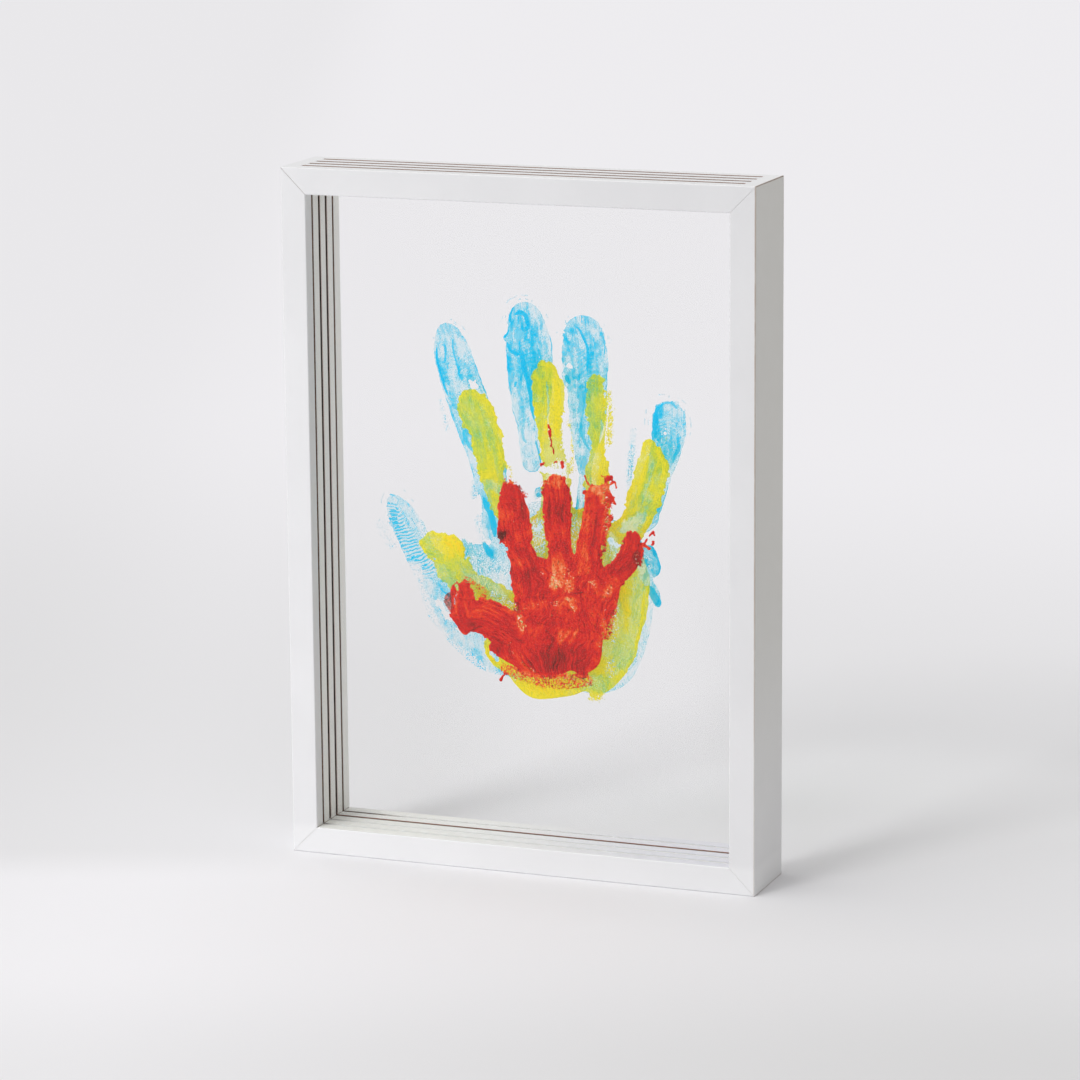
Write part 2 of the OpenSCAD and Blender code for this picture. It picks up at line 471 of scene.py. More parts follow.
@dataclass(frozen=True)
class SpringSteel:
    """Rolled steel strip, cut and folded into frame wedges."""

    colour: str = "#9A9C9F"
    oiled: str = "#77797C"
    roughness: float = 0.34

    def material(self) -> bpy.types.Material:
        """Builds the finish, which reads Object coordinates."""
        material, tree, (place, *_) = new_material("rolled_spring_steel")
        # Rolling leaves lines along the strip, 0.2 mm apart, and oil leaves slow darker patches.
        lines = place.noise(0.2, 2, (1, 12, 1))
        colour = place.noise(2.5, 2).spread(0.35, 0.7).blend(self.colour, self.oiled)
        rough = lines.spread(0.2, 0.8, self.roughness - 0.08, self.roughness + 0.14)
        bump = add_node(tree, "ShaderNodeBump", {"Height": lines, "Distance": 0.01 * MM, "Strength": 0.5})
        feeds = {"Base Color": colour, "Metallic": 1.0, "Roughness": rough, "Normal": bump}
        return end_material(material, add_node(tree, "ShaderNodeBsdfPrincipled", feeds))


@dataclass(frozen=True)
class CastAcrylic:
    """Clear cast acrylic sheet with flame-cut edges that scatter a little light."""

    colour: str = "#FEFEFE"
    edge: str = "#F1F4F4"
    mirror: str = "#404040"
    ior: float = 1.49

    def material(self) -> bpy.types.Material:
        """Builds the finish, which reads Object coordinates."""
        material, tree, (place, x, _, z) = new_material("clear_cast_acrylic")
        feeds = {"Base Color": self.colour, "Roughness": 0.0, "IOR": self.ior, "Transmission Weight": 1.0}
        clear = add_node(tree, "ShaderNodeBsdfPrincipled", feeds | {"Specular Tint": self.mirror})
        # Cut edges look frosted white where the saw left marks about 0.6 mm apart.
        rough = place.noise(0.6, 2).spread(0.3, 0.7, 0.35, 0.6)
        feeds |= {"Base Color": self.edge, "Roughness": rough, "Transmission Weight": 0.45}
        frosted = add_node(tree, "ShaderNodeBsdfPrincipled", feeds)
        side = abs(x) - (SIZES.sheet_half_width - 0.02) * MM
        low = (SIZES.sheet_low + 0.02) * MM - z
        high = z - (SIZES.sheet_high - 0.02) * MM
        cut = side.step("MAXIMUM", low).step("MAXIMUM", high) > 0.0
        solid = cut.blend(clear, frosted)
        # Lamps and scattered light pass straight through, nearly undimmed, as through a thin pane.
        passing = ray_is(tree, "Shadow", "Diffuse")
        through = add_node(tree, "ShaderNodeBsdfTransparent", {0: WHITE})
        return end_material(material, passing.blend(solid, through))


@dataclass(frozen=True)
class Paint:
    """A dried water-based hand paint. Its mesh says what lies where, in values from 0 to 1:

    load, how much paint there is; tone, its place on the colour ramp; dry, how broken the film
    is; and fleck, how many specks of other paint show. Stroke is the way it was dragged, in metres.
    Pooled paint also has line and edge, how far the nearest drawn line and the film's edge are, in
    millimetres; ink, that line's load; rim, how strongly paint gathered at the edge; and comb, how
    far the skin's ridges combed it."""

    name: str
    tones: tuple[tuple[float, str], ...]
    filters: tuple[tuple[float, str], ...]
    cover: tuple[float, float, float, float]
    load_grain: float
    load_streak: float
    tone_grain: float
    tone_streak: float
    specks: tuple[str, float, float]
    fleck_colours: tuple[tuple[float, str], ...]
    pooled: bool = False
    roughness: float = 0.5

    def material(self) -> bpy.types.Material:
        """Builds the finish, which reads the piece's own attributes and Object coordinates."""
        material, tree, (place, *_) = new_material(self.name)
        load, tone, dry, fleck = self.stored(tree, "load", "tone", "dry", "fleck")
        stroke = add_node(tree, "ShaderNodeAttribute", output="Vector", attribute_name="stroke")
        # Pigment gathers in grains near 0.5 mm, and skin drags it into lines 0.6 mm apart.
        grain = place.noise(0.5, 3) - 0.5
        streak = stroke.noise(0.6, 3, (1, 8, 1)) - 0.5
        thick = (streak * self.load_streak + (grain * self.load_grain + load)).clamped()
        shade = (streak * self.tone_streak + (grain * self.tone_grain + tone)).clamped()
        if self.pooled:
            thick = self.pool(place, stroke, thick)
            shade = thick * 0.6 + shade * 0.4
        colour = self.speckled(place, fleck, shade.ramp(self.tones))
        feeds = {"Height": streak * 0.8 + thick, "Distance": 0.1 * MM, "Strength": 0.6}
        bump = add_node(tree, "ShaderNodeBump", feeds)
        feeds = {"Base Color": colour, "Roughness": self.roughness, "Normal": bump}
        film = add_node(tree, "ShaderNodeBsdfPrincipled", feeds | {"Specular IOR Level": 0.15})
        wash = add_node(tree, "ShaderNodeBsdfTransparent", {0: thick.ramp(self.filters)})
        layer = thick.spread(*self.cover).blend(wash, film)
        # Sight passes a film's near side and far side, and only the near one may count.
        far_side = add_node(tree, "ShaderNodeNewGeometry", output="Backfacing")
        open_share = far_side.step("MAXIMUM", self.holes(place, stroke, dry))
        # So thin a film hardly shades what lies behind it.
        open_share = open_share.step("MAXIMUM", ray_is(tree, "Shadow") * 0.85)
        nothing = add_node(tree, "ShaderNodeBsdfTransparent", {0: WHITE})
        return end_material(material, open_share.blend(layer, nothing))

    @staticmethod
    def stored(tree: bpy.types.NodeTree, *names: str) -> list[Value]:
        """What the piece's own points hold under some names."""
        return [add_node(tree, "ShaderNodeAttribute", None, "Fac", attribute_name=name) for name in names]

    def pool(self, place: Value, stroke: Value, thick: Value) -> Value:
        """Water's work: patches with a dark line where each dried, drawn lines, and skin ridges.

        Args:
            place: the Object coordinates.
            stroke: the drag coordinates.
            thick: the load so far.

        Returns:
            The new load.
        """
        line, ink, edge, rim, comb = self.stored(place.tree, "line", "ink", "edge", "rim", "comb")
        patch = stroke.noise(3.4, 4, (1, 5, 1)) - 0.5
        thick = patch.spread(-0.004, 0.006, -0.5, 0.5) * 0.14 + thick
        contour = abs(patch).spread(0.002, 0.011, 1.0, 0.0) * place.noise(5, 2).spread(0.45, 0.62)
        thick = (contour * 0.6 + thick).clamped()
        # Distances are in millimetres; a jitter of 0.25 mm keeps the drawn lines from looking ruled.
        jitter = place.noise(1.4, 3) * 0.5 - 0.25
        drawn = (line + jitter).spread(-0.08, 0.08, 1.0, 0.0)
        thick = drawn * (ink - thick) + thick
        bead = (edge + jitter).spread(0.22, 0.5, 0.9, 0.0)
        thick = thick.step("MAXIMUM", bead * rim)
        # Skin ridges are drawn 1.7 mm apart, coarser than life, as the wet paint bridged them.
        along = add_node(place.tree, "ShaderNodeSeparateXYZ", {0: stroke}, "Y")
        phase = place.noise(4, 2) * 9.0 + along * (2 * math.pi / (1.7 * MM))
        valley = phase.step("SINE").spread(-0.3, 0.4, 1.0, 0.0) * comb
        return (valley * -0.6 + thick).clamped()

    @staticmethod
    def holes(place: Value, stroke: Value, dry: Value) -> Value:
        """Bare spots near 0.6 mm across, which grow with dryness.

        Args:
            place: the Object coordinates.
            stroke: the drag coordinates.
            dry: the dryness.

        Returns:
            The share of bare sheet.
        """
        spots = place.noise(0.75, 4, rough=0.7)
        lines = stroke.noise(0.9, 2, (1, 3, 1))
        both = lines * 0.22 + spots * 0.78
        return (dry * -0.36 + (both - 0.24)).spread(-0.025, 0.025, 1.0, 0.0)

    def speckled(self, place: Value, fleck: Value, colour: Value) -> Value:
        """Adds dark grains and specks of other paint.

        Args:
            place: the Object coordinates.
            fleck: how many specks there are.
            colour: the colour so far.

        Returns:
            The new colour.
        """
        dark, limit, share = self.specks
        grains = place.noise(0.8, 2, (1.0, 1.0, 1.4))
        colour = grains.spread(limit, limit + 0.06, 0.0, share).blend(colour, dark)
        other = place.noise(1.7, 1).spread(0.32, 0.68).ramp(self.fleck_colours)
        spots = fleck * 0.25 + place.noise(0.8, 2)
        return spots.spread(0.77, 0.82).blend(colour, other)


# ---- Shapes of pressed paint ----------------------------------------------------------------


class Grain:
    """Seeded noise over a flat sheet, the same on every run."""

    PRIMES = (374761393, 668265263, 974634777, 1274126177)
    WORD = 0xFFFFFFFF
    HALF_WORD = 0xFFFF

    def __init__(self, seed: int) -> None:
        """Keeps the seed."""
        self.seed = seed

    def corner(self, i: np.ndarray, j: np.ndarray) -> np.ndarray:
        """A number from 0 to 1 for each corner of the noise's lattice.

        Args:
            i: whole numbers across.
            j: whole numbers up.

        Returns:
            The numbers.
        """
        across, up, seed, again = self.PRIMES
        mixed = (i * across + j * up + self.seed * seed) & self.WORD
        mixed = ((mixed ^ (mixed >> 13)) * again) & self.WORD
        return ((mixed ^ (mixed >> 16)) & self.HALF_WORD) / self.HALF_WORD

    def plain(self, x: np.ndarray, z: np.ndarray) -> np.ndarray:
        """Smooth noise with features one unit wide.

        Args:
            x: places across.
            z: places up.

        Returns:
            Values from 0 to 1.
        """
        i, j = np.floor(x).astype(np.int64), np.floor(z).astype(np.int64)
        u, v = x - i, z - j
        u, v = (t * t * t * (t * (t * 6 - 15) + 10) for t in (u, v))
        low = self.corner(i, j) * (1 - u) + self.corner(i + 1, j) * u
        high = self.corner(i, j + 1) * (1 - u) + self.corner(i + 1, j + 1) * u
        return low * (1 - v) + high * v

    def layered(self, x: np.ndarray, z: np.ndarray, layers: int = 3) -> np.ndarray:
        """Noise with finer and weaker layers added, each turned against the last.

        Args:
            x: places across.
            z: places up.
            layers: how many layers there are.

        Returns:
            Values from 0 to 1, about 0.5 on average.
        """
        total, weight, share = np.zeros(len(x)), 0.0, 1.0
        for layer in range(layers):
            total += share * self.plain(x + 17.3 * layer, z - 9.1 * layer)
            weight += share
            share *= 0.55
            x, z = 1.7 * x - 1.1 * z, 1.1 * x + 1.7 * z
        return total / weight


def smooth_path(points: tuple, steps: int = 5) -> np.ndarray:
    """Rounds a chain of points.

    Args:
        points: the chain, each point with the same count of numbers.
        steps: how many points each stretch becomes.

    Returns:
        The finer chain, one row for each point.
    """
    chain = np.array(points, float)
    if len(chain) < 3:
        return chain
    ends = np.vstack([2 * chain[0] - chain[1], chain, 2 * chain[-1] - chain[-2]])
    made = []
    for a, b, c, d in zip(ends, ends[1:], ends[2:], ends[3:]):
        for t in np.arange(steps) / steps:
            bend = -a + 3 * b - 3 * c + d
            made.append(0.5 * (2 * b + (c - a) * t + (2 * a - 5 * b + 4 * c - d) * t * t + bend * t**3))
    return np.vstack([made, chain[-1]])


def along_path(at: np.ndarray, path: np.ndarray) -> tuple[np.ndarray, np.ndarray, np.ndarray]:
    """How far points lie inside a chain of round pads.

    Args:
        at: the points, one row each.
        path: the chain's points, each with its radius.

    Returns:
        The depth inside the chain, the distance along it, and the distance across it, to the
        right when the chain runs down.
    """
    depth = np.full(len(at), -FAR)
    run, across = np.zeros(len(at)), np.zeros(len(at))
    if len(path) == 1:
        away = at - path[0, :2]
        return path[0, 2] - np.hypot(*away.T), np.zeros(len(at)), away[:, 0]
    start = 0.0
    for a, b in zip(path, path[1:]):
        step = b[:2] - a[:2]
        length = max(float(np.hypot(*step)), TINY)
        t = np.clip((at - a[:2]) @ step / length**2, 0, 1)
        away = at - (a[:2] + t[:, None] * step)
        radius = a[2] + t * (b[2] - a[2])
        here = radius - np.hypot(*away.T)
        side = (away @ np.array([-step[1], step[0]])) / length
        nearer = here > depth
        depth = np.where(nearer, here, depth)
        run = np.where(nearer, start + t * length, run)
        across = np.where(nearer, side, across)
        start += length
    return depth, run, across


def inside_chain(at: np.ndarray, pads: tuple) -> np.ndarray:
    """How far points lie inside a chain of pads, once it is rounded."""
    return along_path(at, smooth_path(pads))[0]


def path_length(path: np.ndarray) -> float:
    """How long a chain of points is."""
    return np.hypot(*np.diff(path[:, :2], axis=0).T).sum()


def inside_outline(at: np.ndarray, outline: tuple) -> np.ndarray:
    """How far points lie inside a closed outline.

    Args:
        at: the points, one row each.
        outline: the outline's corners, in order.

    Returns:
        The distance to the outline, positive inside.
    """
    corners = smooth_path((*outline[-2:], *outline, *outline[:2]), 4)[8:-8]
    inside = np.zeros(len(at), bool)
    nearest = np.full(len(at), FAR)
    for a, b in zip(corners, np.roll(corners, -1, 0)):
        step = b - a
        t = np.clip((at - a) @ step / max(step @ step, TINY), 0, 1)
        nearest = np.minimum(nearest, np.hypot(*(at - (a + t[:, None] * step)).T))
        level = (a[1] > at[:, 1]) != (b[1] > at[:, 1])
        cross = a[0] + (at[:, 1] - a[1]) * step[0] / (step[1] if abs(step[1]) > TINY else TINY)
        inside ^= level & (at[:, 0] < cross)
    return np.where(inside, nearest, -nearest)


def round_union(a: np.ndarray, b: np.ndarray, width: float) -> np.ndarray:
    """The larger of two depths, with a fillet where they meet.

    Args:
        a: one depth.
        b: the other depth.
        width: how wide the fillet is.

    Returns:
        The joined depth.
    """
    near = np.maximum(width - np.abs(a - b), 0) / width
    return np.maximum(a, b) + near * near * width / 4


def rise(value: np.ndarray, low: float, high: float) -> np.ndarray:
    """A smooth step.

    Args:
        value: the values.
        low: where the step starts.
        high: where it ends.

    Returns:
        Values from 0 to 1.
    """
    t = np.clip((value - low) / (high - low), 0, 1)
    return t * t * (3 - 2 * t)


@dataclass(frozen=True)
class Trail:
    """A line of paint that lies thicker or thinner than what is round it.

    Its points run from end to end, its width is half the line's, and its load is from 0 to 1."""

    points: tuple[tuple[float, float], ...]
    width: float
    load: float

    def beside(self, at: np.ndarray, thinnest: float) -> tuple[np.ndarray, np.ndarray, np.ndarray]:
        """How far points lie from the line.

        Args:
            at: points in the hand's measure.
            thinnest: the square of the share of its width that the line keeps at its ends.

        Returns:
            The distance, the distance across the line with its side's sign, and the line's width.
        """
        path = smooth_path(tuple((*p, 0.0) for p in self.points))
        depth, run, across = along_path(at, path)
        length = path_length(path)
        ends = np.sqrt(np.clip(5 * np.minimum(run, length - run) / length, thinnest, 1))
        return -depth, across, self.width * ends


@dataclass(frozen=True)
class Spray:
    """A patch of small separate flecks, along a chain of pads: the drier, the sparser."""

    pads: tuple[tuple[float, float, float], ...]
    dry: float


@dataclass(frozen=True)
class Stain:
    """A patch where the paint's tone shifts, and where it is at least so dry, flecked or combed by
    the skin's ridges. Soft says how wide the patch's fading edge is."""

    pads: tuple[tuple[float, float, float], ...]
    shift: float = 0.0
    dry: float = 0.0
    fleck: float = 0.0
    soft: float = 1.2
    comb: float = 0.0


class Wetness(Enum):
    """How the paint was loaded on the hand."""

    WATERY = "watery"
    CREAMY = "creamy"
    THICK = "thick"


@dataclass(frozen=True)
class HandShape:
    """A pressed hand in hundredths of its length, from the heel's middle: X across, Z up.

    Each finger is a chain of pads from tip to root, each pad its place and its radius. The palm is
    an outline. Drips add paint and gaps take it away. Halo is how far the skin's thin rings of paint
    reach past the fingertips, raggedness how uneven the edge is, and tears how deeply it is torn."""

    fingers: tuple
    palm: tuple
    drips: tuple = ()
    gaps: tuple = ()
    trails: tuple[Trail, ...] = ()
    sprays: tuple[Spray, ...] = ()
    stains: tuple[Stain, ...] = ()
    halo: float = 0.0
    raggedness: float = 0.4
    tears: float = 0.0


@dataclass
class Handprint:
    """One handprint: a film of dried paint on a sheet's front face.

    The heel's place, the hand's length, the sheet's face, the grid's cell and both thicknesses are in
    millimetres."""

    name: str
    node: str
    body: str
    slot: str
    shape: HandShape
    wetness: Wetness
    finish: Paint
    heel: tuple[float, float]
    length: float
    sheet_face: float
    cell: float
    seed: int
    edge_thickness: float = 0.04
    most_relief: float = 0.3
    made: bpy.types.Object | None = field(default=None, repr=False)

    def to_hand(self, co: np.ndarray) -> np.ndarray:
        """Turns metres on the sheet into hundredths of the hand's length.

        Args:
            co: points in metres, one row each.

        Returns:
            Their X and Z in the hand's own measure.
        """
        flat = co[:, [0, 2]] / MM - np.array(self.heel)
        return flat * 100 / self.length

    def drag(self, at: np.ndarray) -> tuple[np.ndarray, np.ndarray]:
        """How far points lie inside the plain hand, and the way the paint was dragged there.

        Args:
            at: points in the hand's measure.

        Returns:
            The depth inside the hand, and rows of the place across the stroke, the place along
            it, and the distance from the fingertip, or IN_PALM there.
        """
        fillet = 1.6
        palm = inside_outline(at, self.shape.palm)
        depth = palm.copy()
        weight = np.exp(np.clip(palm, -30, 12) / fillet)
        total, ways = weight.copy(), at * weight[:, None]
        tip = np.full(len(at), IN_PALM)
        nearest = palm - 4
        for finger in self.shape.fingers:
            path = smooth_path(finger)
            here, run, aside = along_path(at, path)
            way = np.stack([path[-1, 0] + aside, path[-1, 1] + path_length(path) - run], 1)
            weight = np.exp(np.clip(here, -30, 12) / fillet)
            total, ways = total + weight, ways + way * weight[:, None]
            tip = np.where(here > nearest, run, tip)
            nearest = np.maximum(nearest, here)
            depth = round_union(depth, here, fillet)
        for drip in self.shape.drips:
            depth = np.maximum(depth, inside_chain(at, drip))
        swirl = Grain(self.seed + 3)
        x, z = at.T / 11
        turn = np.stack([swirl.layered(x, z, 2), swirl.layered(x + 31, z - 8, 2)], 1) - 0.5
        palmward = rise(tip, 20, IN_PALM)[:, None]
        return depth, np.column_stack([ways / total[:, None] + turn * (3 + 8 * palmward), tip])

    def coverage(self, at: np.ndarray) -> np.ndarray:
        """Where paint lies: positive inside the film, in the hand's measure.

        Args:
            at: points in the hand's measure.

        Returns:
            The depth inside the film.
        """
        x, z = at.T
        grain = Grain(self.seed)
        depth, way = self.drag(at)
        # The edge runs smoothest at the heel, where the hand rolled off, and rougher on the fingers.
        rough = (0.15 + 0.85 * rise(z, 4, 13)) * (1 - 0.6 * rise(way[:, 2], 60, IN_PALM))
        rag = self.shape.raggedness * rough
        wobble = grain.layered(x / 2.6, z / 2.6, 2) - 0.5
        tooth = grain.layered(x / 0.9 + 40, z / 0.9, 2) - 0.5
        film = depth + 1.5 * rag * wobble + 0.9 * rag * tooth
        torn = rise(grain.layered(x / 4.3 + 9, z / 4.3, 2), 0.45, 0.62)
        film = film + self.shape.tears * torn * rough * (grain.layered(x / 1.3, z / 1.3 + 20, 3) - 0.55)
        for spray in self.shape.sprays:
            film = np.maximum(film, inside_chain(at, spray.pads) + 1.2 * wobble)
        for gap in self.shape.gaps:
            film = np.minimum(film, -inside_chain(at, gap) + 1.6 * tooth + 0.8 * wobble)
        if self.shape.halo > 0:
            film = np.maximum(film, self.skin_lines(at, depth, way[:, 2]))
        return film

    def skin_lines(self, at: np.ndarray, depth: np.ndarray, tip: np.ndarray) -> np.ndarray:
        """Dry lines of skin round the fingertips, where paint was squeezed out in thin rings.

        Args:
            at: points in the hand's measure.
            depth: how deep each lies inside the plain hand.
            tip: its distance from the fingertip's pad.

        Returns:
            The depth inside the lines.
        """
        x, z = at.T
        grain = Grain(self.seed + 5)
        bend = grain.layered(x / 4.5, z / 4.5, 2) - 0.5
        wave = np.cos(2 * np.pi * (-depth / 1.2 + 2.4 * bend))
        band = np.minimum(-depth - 0.25, 2.1 * self.shape.halo + depth + 2 * bend)
        broken = grain.layered(x / 1.5 + 11, z / 1.5, 2) - 0.51
        near_tip = rise(tip, 6, 0.5) - 0.4
        return np.minimum(np.minimum((wave - 0.74) * 0.3, band), np.minimum(broken * 2, near_tip))

    def amounts(self, at: np.ndarray) -> dict[str, np.ndarray]:
        """What the paint is like from place to place.

        Args:
            at: points in the hand's measure.

        Returns:
            The values that the paint's material reads, by attribute name.
        """
        x, z = at.T
        depth, way = self.drag(at)
        across, along, tip = way.T
        grain = Grain(self.seed + 9)
        streak = grain.layered(across / 0.9, along / 9, 4)
        cloud = grain.layered(x / 5.5, z / 5.5, 4)
        fine = grain.layered(x / 0.9 + 3, z / 0.9, 3)
        watery = self.wetness is Wetness.WATERY
        if watery:
            line, ink, beside = self.drawn_lines(at)
            load = self.wash(cloud, fine, streak, way) + 0.16 * beside
            tone = load
        elif self.wetness is Wetness.CREAMY:
            load = 0.6 + 0.4 * (streak - 0.5) + 0.7 * (cloud - 0.5) + 0.3 * (fine - 0.5)
            tone = 0.48 + 0.4 * (streak - 0.5) + 0.5 * (cloud - 0.5)
        else:
            load = 0.86 + 0.2 * (streak - 0.5) + 0.2 * (fine - 0.5)
            tone = 0.47 + 0.36 * (cloud - 0.5) + 0.5 * (streak - 0.5) + 0.2 * (fine - 0.5)
        # The film thins toward its edge, in places.
        dry = 0.45 * rise(depth, 0.9, -0.4) * rise(cloud, 0.35, 0.65)
        fleck, comb = np.zeros(len(at)), np.zeros(len(at))
        for stain in self.shape.stains:
            soft = stain.soft
            near = rise(inside_chain(at, stain.pads) + 3.4 * soft * (cloud - 0.5), -soft, soft)
            tone = tone + stain.shift * near * (1.0 if watery else 0.4 + 1.2 * fine)
            dry = np.maximum(dry, stain.dry * near)
            fleck = np.maximum(fleck, stain.fleck * near)
            comb = np.maximum(comb, stain.comb * near)
        if not watery:
            for trail in self.shape.trails:
                share = self.trail_share(at, trail, fine)
                load = load + (trail.load - load) * share
                if self.wetness is Wetness.CREAMY:
                    tone = tone + share * 0.45 * (trail.load - 0.6)
                dry = dry * (1 - share * rise(np.float64(trail.load), 0.5, 0.8))
        outside = rise(depth, 0.1, -0.5)
        dry = np.maximum(dry, self.sprayed(at, depth) * outside)
        if self.wetness is Wetness.THICK:
            tone = tone + outside * 0.8 * (grain.layered(x / 1.2 + 7, z / 1.2, 2) - 0.46)
            fleck = np.maximum(fleck, 0.2 * outside)
        scale = self.length / 100 * MM
        lines = {}
        if watery:
            # The skin's thin rings hold little paint, and neither does the palm's middle.
            tone = np.where((depth < -0.3) & (tip < 9), 0.1, tone)
            load = tone = tone * (1 - 0.3 * rise(tip, 50, IN_PALM) * rise(depth, 1, 4))
            dry = dry * (1 - rise(ink, 0.5, 0.8) * rise(line, 0.25, 0.0))
            rim = rise(cloud, 0.36, 0.56) * rise(tip, 3, 10) * rise(tip, 96, 60) * rise(depth, -0.6, 0.0)
            lines = {"line": line * scale / MM, "ink": ink, "rim": rim * rise(dry, 0.6, 0.4), "comb": comb}
        return {
            **lines,
            "load": np.clip(load, 0.02, 1),
            "tone": np.clip(tone, 0, 1),
            "dry": np.clip(dry, 0, 1),
            "fleck": np.clip(fleck, 0, 1),
            "stroke": np.column_stack([across * scale, along * scale, np.zeros(len(at))]),
        }

    def sprayed(self, at: np.ndarray, depth: np.ndarray) -> np.ndarray:
        """How broken the paint is outside the hand, where it lies in small flecks.

        Args:
            at: points in the hand's measure.
            depth: how deep each lies inside the hand.

        Returns:
            The dryness there.
        """
        inner, thin = np.full(len(at), -9.0), np.full(len(at), 0.35)
        for spray in self.shape.sprays:
            here = inside_chain(at, spray.pads)
            thin = np.where(here > np.maximum(inner, -1), spray.dry, thin)
            inner = np.maximum(inner, here)
        thin = thin + (1 - thin) * rise(inner, 1.0, 0.0) * rise(inner, -2.0, -1.2)
        if self.wetness is Wetness.THICK:
            thin = thin - 0.3 * rise(depth, -2.2, -0.4)
        return thin

    @staticmethod
    def trail_share(at: np.ndarray, trail: Trail, fine: np.ndarray) -> np.ndarray:
        """How much of a trail's own load shows: a flat band with a thin soft edge and thin ends.

        Args:
            at: points in the hand's measure.
            trail: the trail.
            fine: fine noise.

        Returns:
            The share, from 0 to 1.
        """
        away, _, width = trail.beside(at, 0.12)
        return rise(away / width + 0.9 * (fine - 0.5), 1.25, 0.6)

    def drawn_lines(self, at: np.ndarray) -> tuple[np.ndarray, np.ndarray, np.ndarray]:
        """Thin paint's trails: how far each point is from the nearest, so the shader draws it crisp.

        Args:
            at: points in the hand's measure.

        Returns:
            The distance outside the line, the line's load, and how much paint fades off beside it.
        """
        line, ink, beside = np.full(len(at), 9.0), np.full(len(at), 0.9), np.zeros(len(at))
        for trail in self.shape.trails:
            away, across, width = trail.beside(at, 0.03)
            away = away - 0.55 * width
            ink = np.where(away < line, trail.load, ink)
            line = np.minimum(line, away)
            fade = trail.load * rise(away, 1.5, 0.0) * rise(across, -0.15, 0.15)
            beside = np.maximum(beside, fade)
        return line, ink, beside

    def wash(self, cloud: np.ndarray, fine: np.ndarray, streak: np.ndarray, way: np.ndarray) -> np.ndarray:
        """The load of thin paint: a pale wash with patches, faint lines and ridges of skin.

        Args:
            cloud: slow noise.
            fine: fine noise.
            streak: noise drawn out along the stroke.
            way: the drag's rows.

        Returns:
            The load, from 0 to 1.
        """
        across, along, tip = way.T
        grain = Grain(self.seed + 77)
        patch = rise(grain.layered(across / 2.2, along / 5, 4), 0.5, 0.55)
        load = 0.24 + 0.48 * (cloud - 0.45) + 0.36 * (fine - 0.5) + 0.16 * patch + 0.38 * (streak - 0.5)
        lines = rise(np.abs(grain.layered(across / 1.6, along / 11, 3) - 0.5), 0.03, 0.01)
        ridges = np.cos(2 * np.pi * (along + 0.12 * (across % 7 - 3.5) ** 2) / 0.95 + 9 * cloud)
        ridges = ridges * (0.04 * rise(tip, 50, 20) + 0.06 * rise(tip, 18, 4))
        return load + 0.26 * lines * rise(cloud, 0.4, 0.55) + ridges

    def build(self) -> bpy.types.Object:
        """Models the film from a grid laid on the sheet, and dresses it.

        Returns:
            The finished piece.
        """
        self.lay_grid()
        self.cut_outline()
        self.pull_rim()
        self.thicken()
        self.dress()
        return self.made

    def lay_grid(self) -> None:
        """Lays a fine grid over the hand, upright on the sheet's front face."""
        pads = [p for finger in self.shape.fingers for p in finger]
        pads += [p for spray in self.shape.sprays for p in spray.pads]
        pads += [p for drip in self.shape.drips for p in drip]
        spare = 4.5 if self.shape.halo else 2.0
        corners = [(x - r, z - r) for x, z, r in pads] + [(x + r, z + r) for x, z, r in pads]
        corners = np.array(corners + list(self.shape.palm))
        low, high = corners.min(0) - spare, corners.max(0) + spare
        scale = self.length / 100
        middle = (low + high) / 2 * scale + np.array(self.heel)
        size = (high - low) * scale
        counts = [int(math.ceil(s / self.cell)) for s in size]
        bpy.ops.object.select_all(action="DESELECT")
        bpy.ops.mesh.primitive_grid_add(
            x_subdivisions=counts[0],
            y_subdivisions=counts[1],
            size=1,
            location=(middle[0] * MM, self.sheet_face * MM, middle[1] * MM),
            rotation=(math.pi / 2, 0, 0),
        )
        self.made = bpy.context.active_object
        self.made.name = self.made.data.name = self.name
        bpy.ops.object.mode_set(mode="EDIT")
        bpy.ops.mesh.select_mode(type="FACE")
        bpy.ops.mesh.select_all(action="SELECT")
        bpy.ops.transform.resize(value=(size[0] * MM, 1, size[1] * MM))
        bpy.ops.object.mode_set(mode="OBJECT")
        bpy.ops.object.transform_apply(location=True, rotation=True, scale=True)

    def points(self) -> np.ndarray:
        """The mesh's points in metres, one row each."""
        mesh = self.made.data
        co = np.empty(len(mesh.vertices) * 3)
        mesh.vertices.foreach_get("co", co)
        return co.reshape(-1, 3)

    def put_points(self, co: np.ndarray) -> None:
        """Gives the mesh its points.

        Args:
            co: points in metres, one row each.
        """
        self.made.data.vertices.foreach_set("co", co.ravel())
        self.made.data.update()

    def cut_outline(self) -> None:
        """Deletes the grid's faces outside the paint, and those that would meet at a corner only."""
        mesh = self.made.data
        inside = self.coverage(self.to_hand(self.points())) > 0
        corners = np.empty(len(mesh.loops), np.int32)
        mesh.loops.foreach_get("vertex_index", corners)
        corners = corners.reshape(-1, 4)
        keep = inside[corners].sum(1) >= 2
        keep = self.no_pinches(corners, keep, len(mesh.vertices))
        mesh.polygons.foreach_set("select", ~keep)
        mesh.update()
        bpy.ops.object.mode_set(mode="EDIT")
        bpy.ops.mesh.delete(type="FACE")
        bpy.ops.object.mode_set(mode="OBJECT")

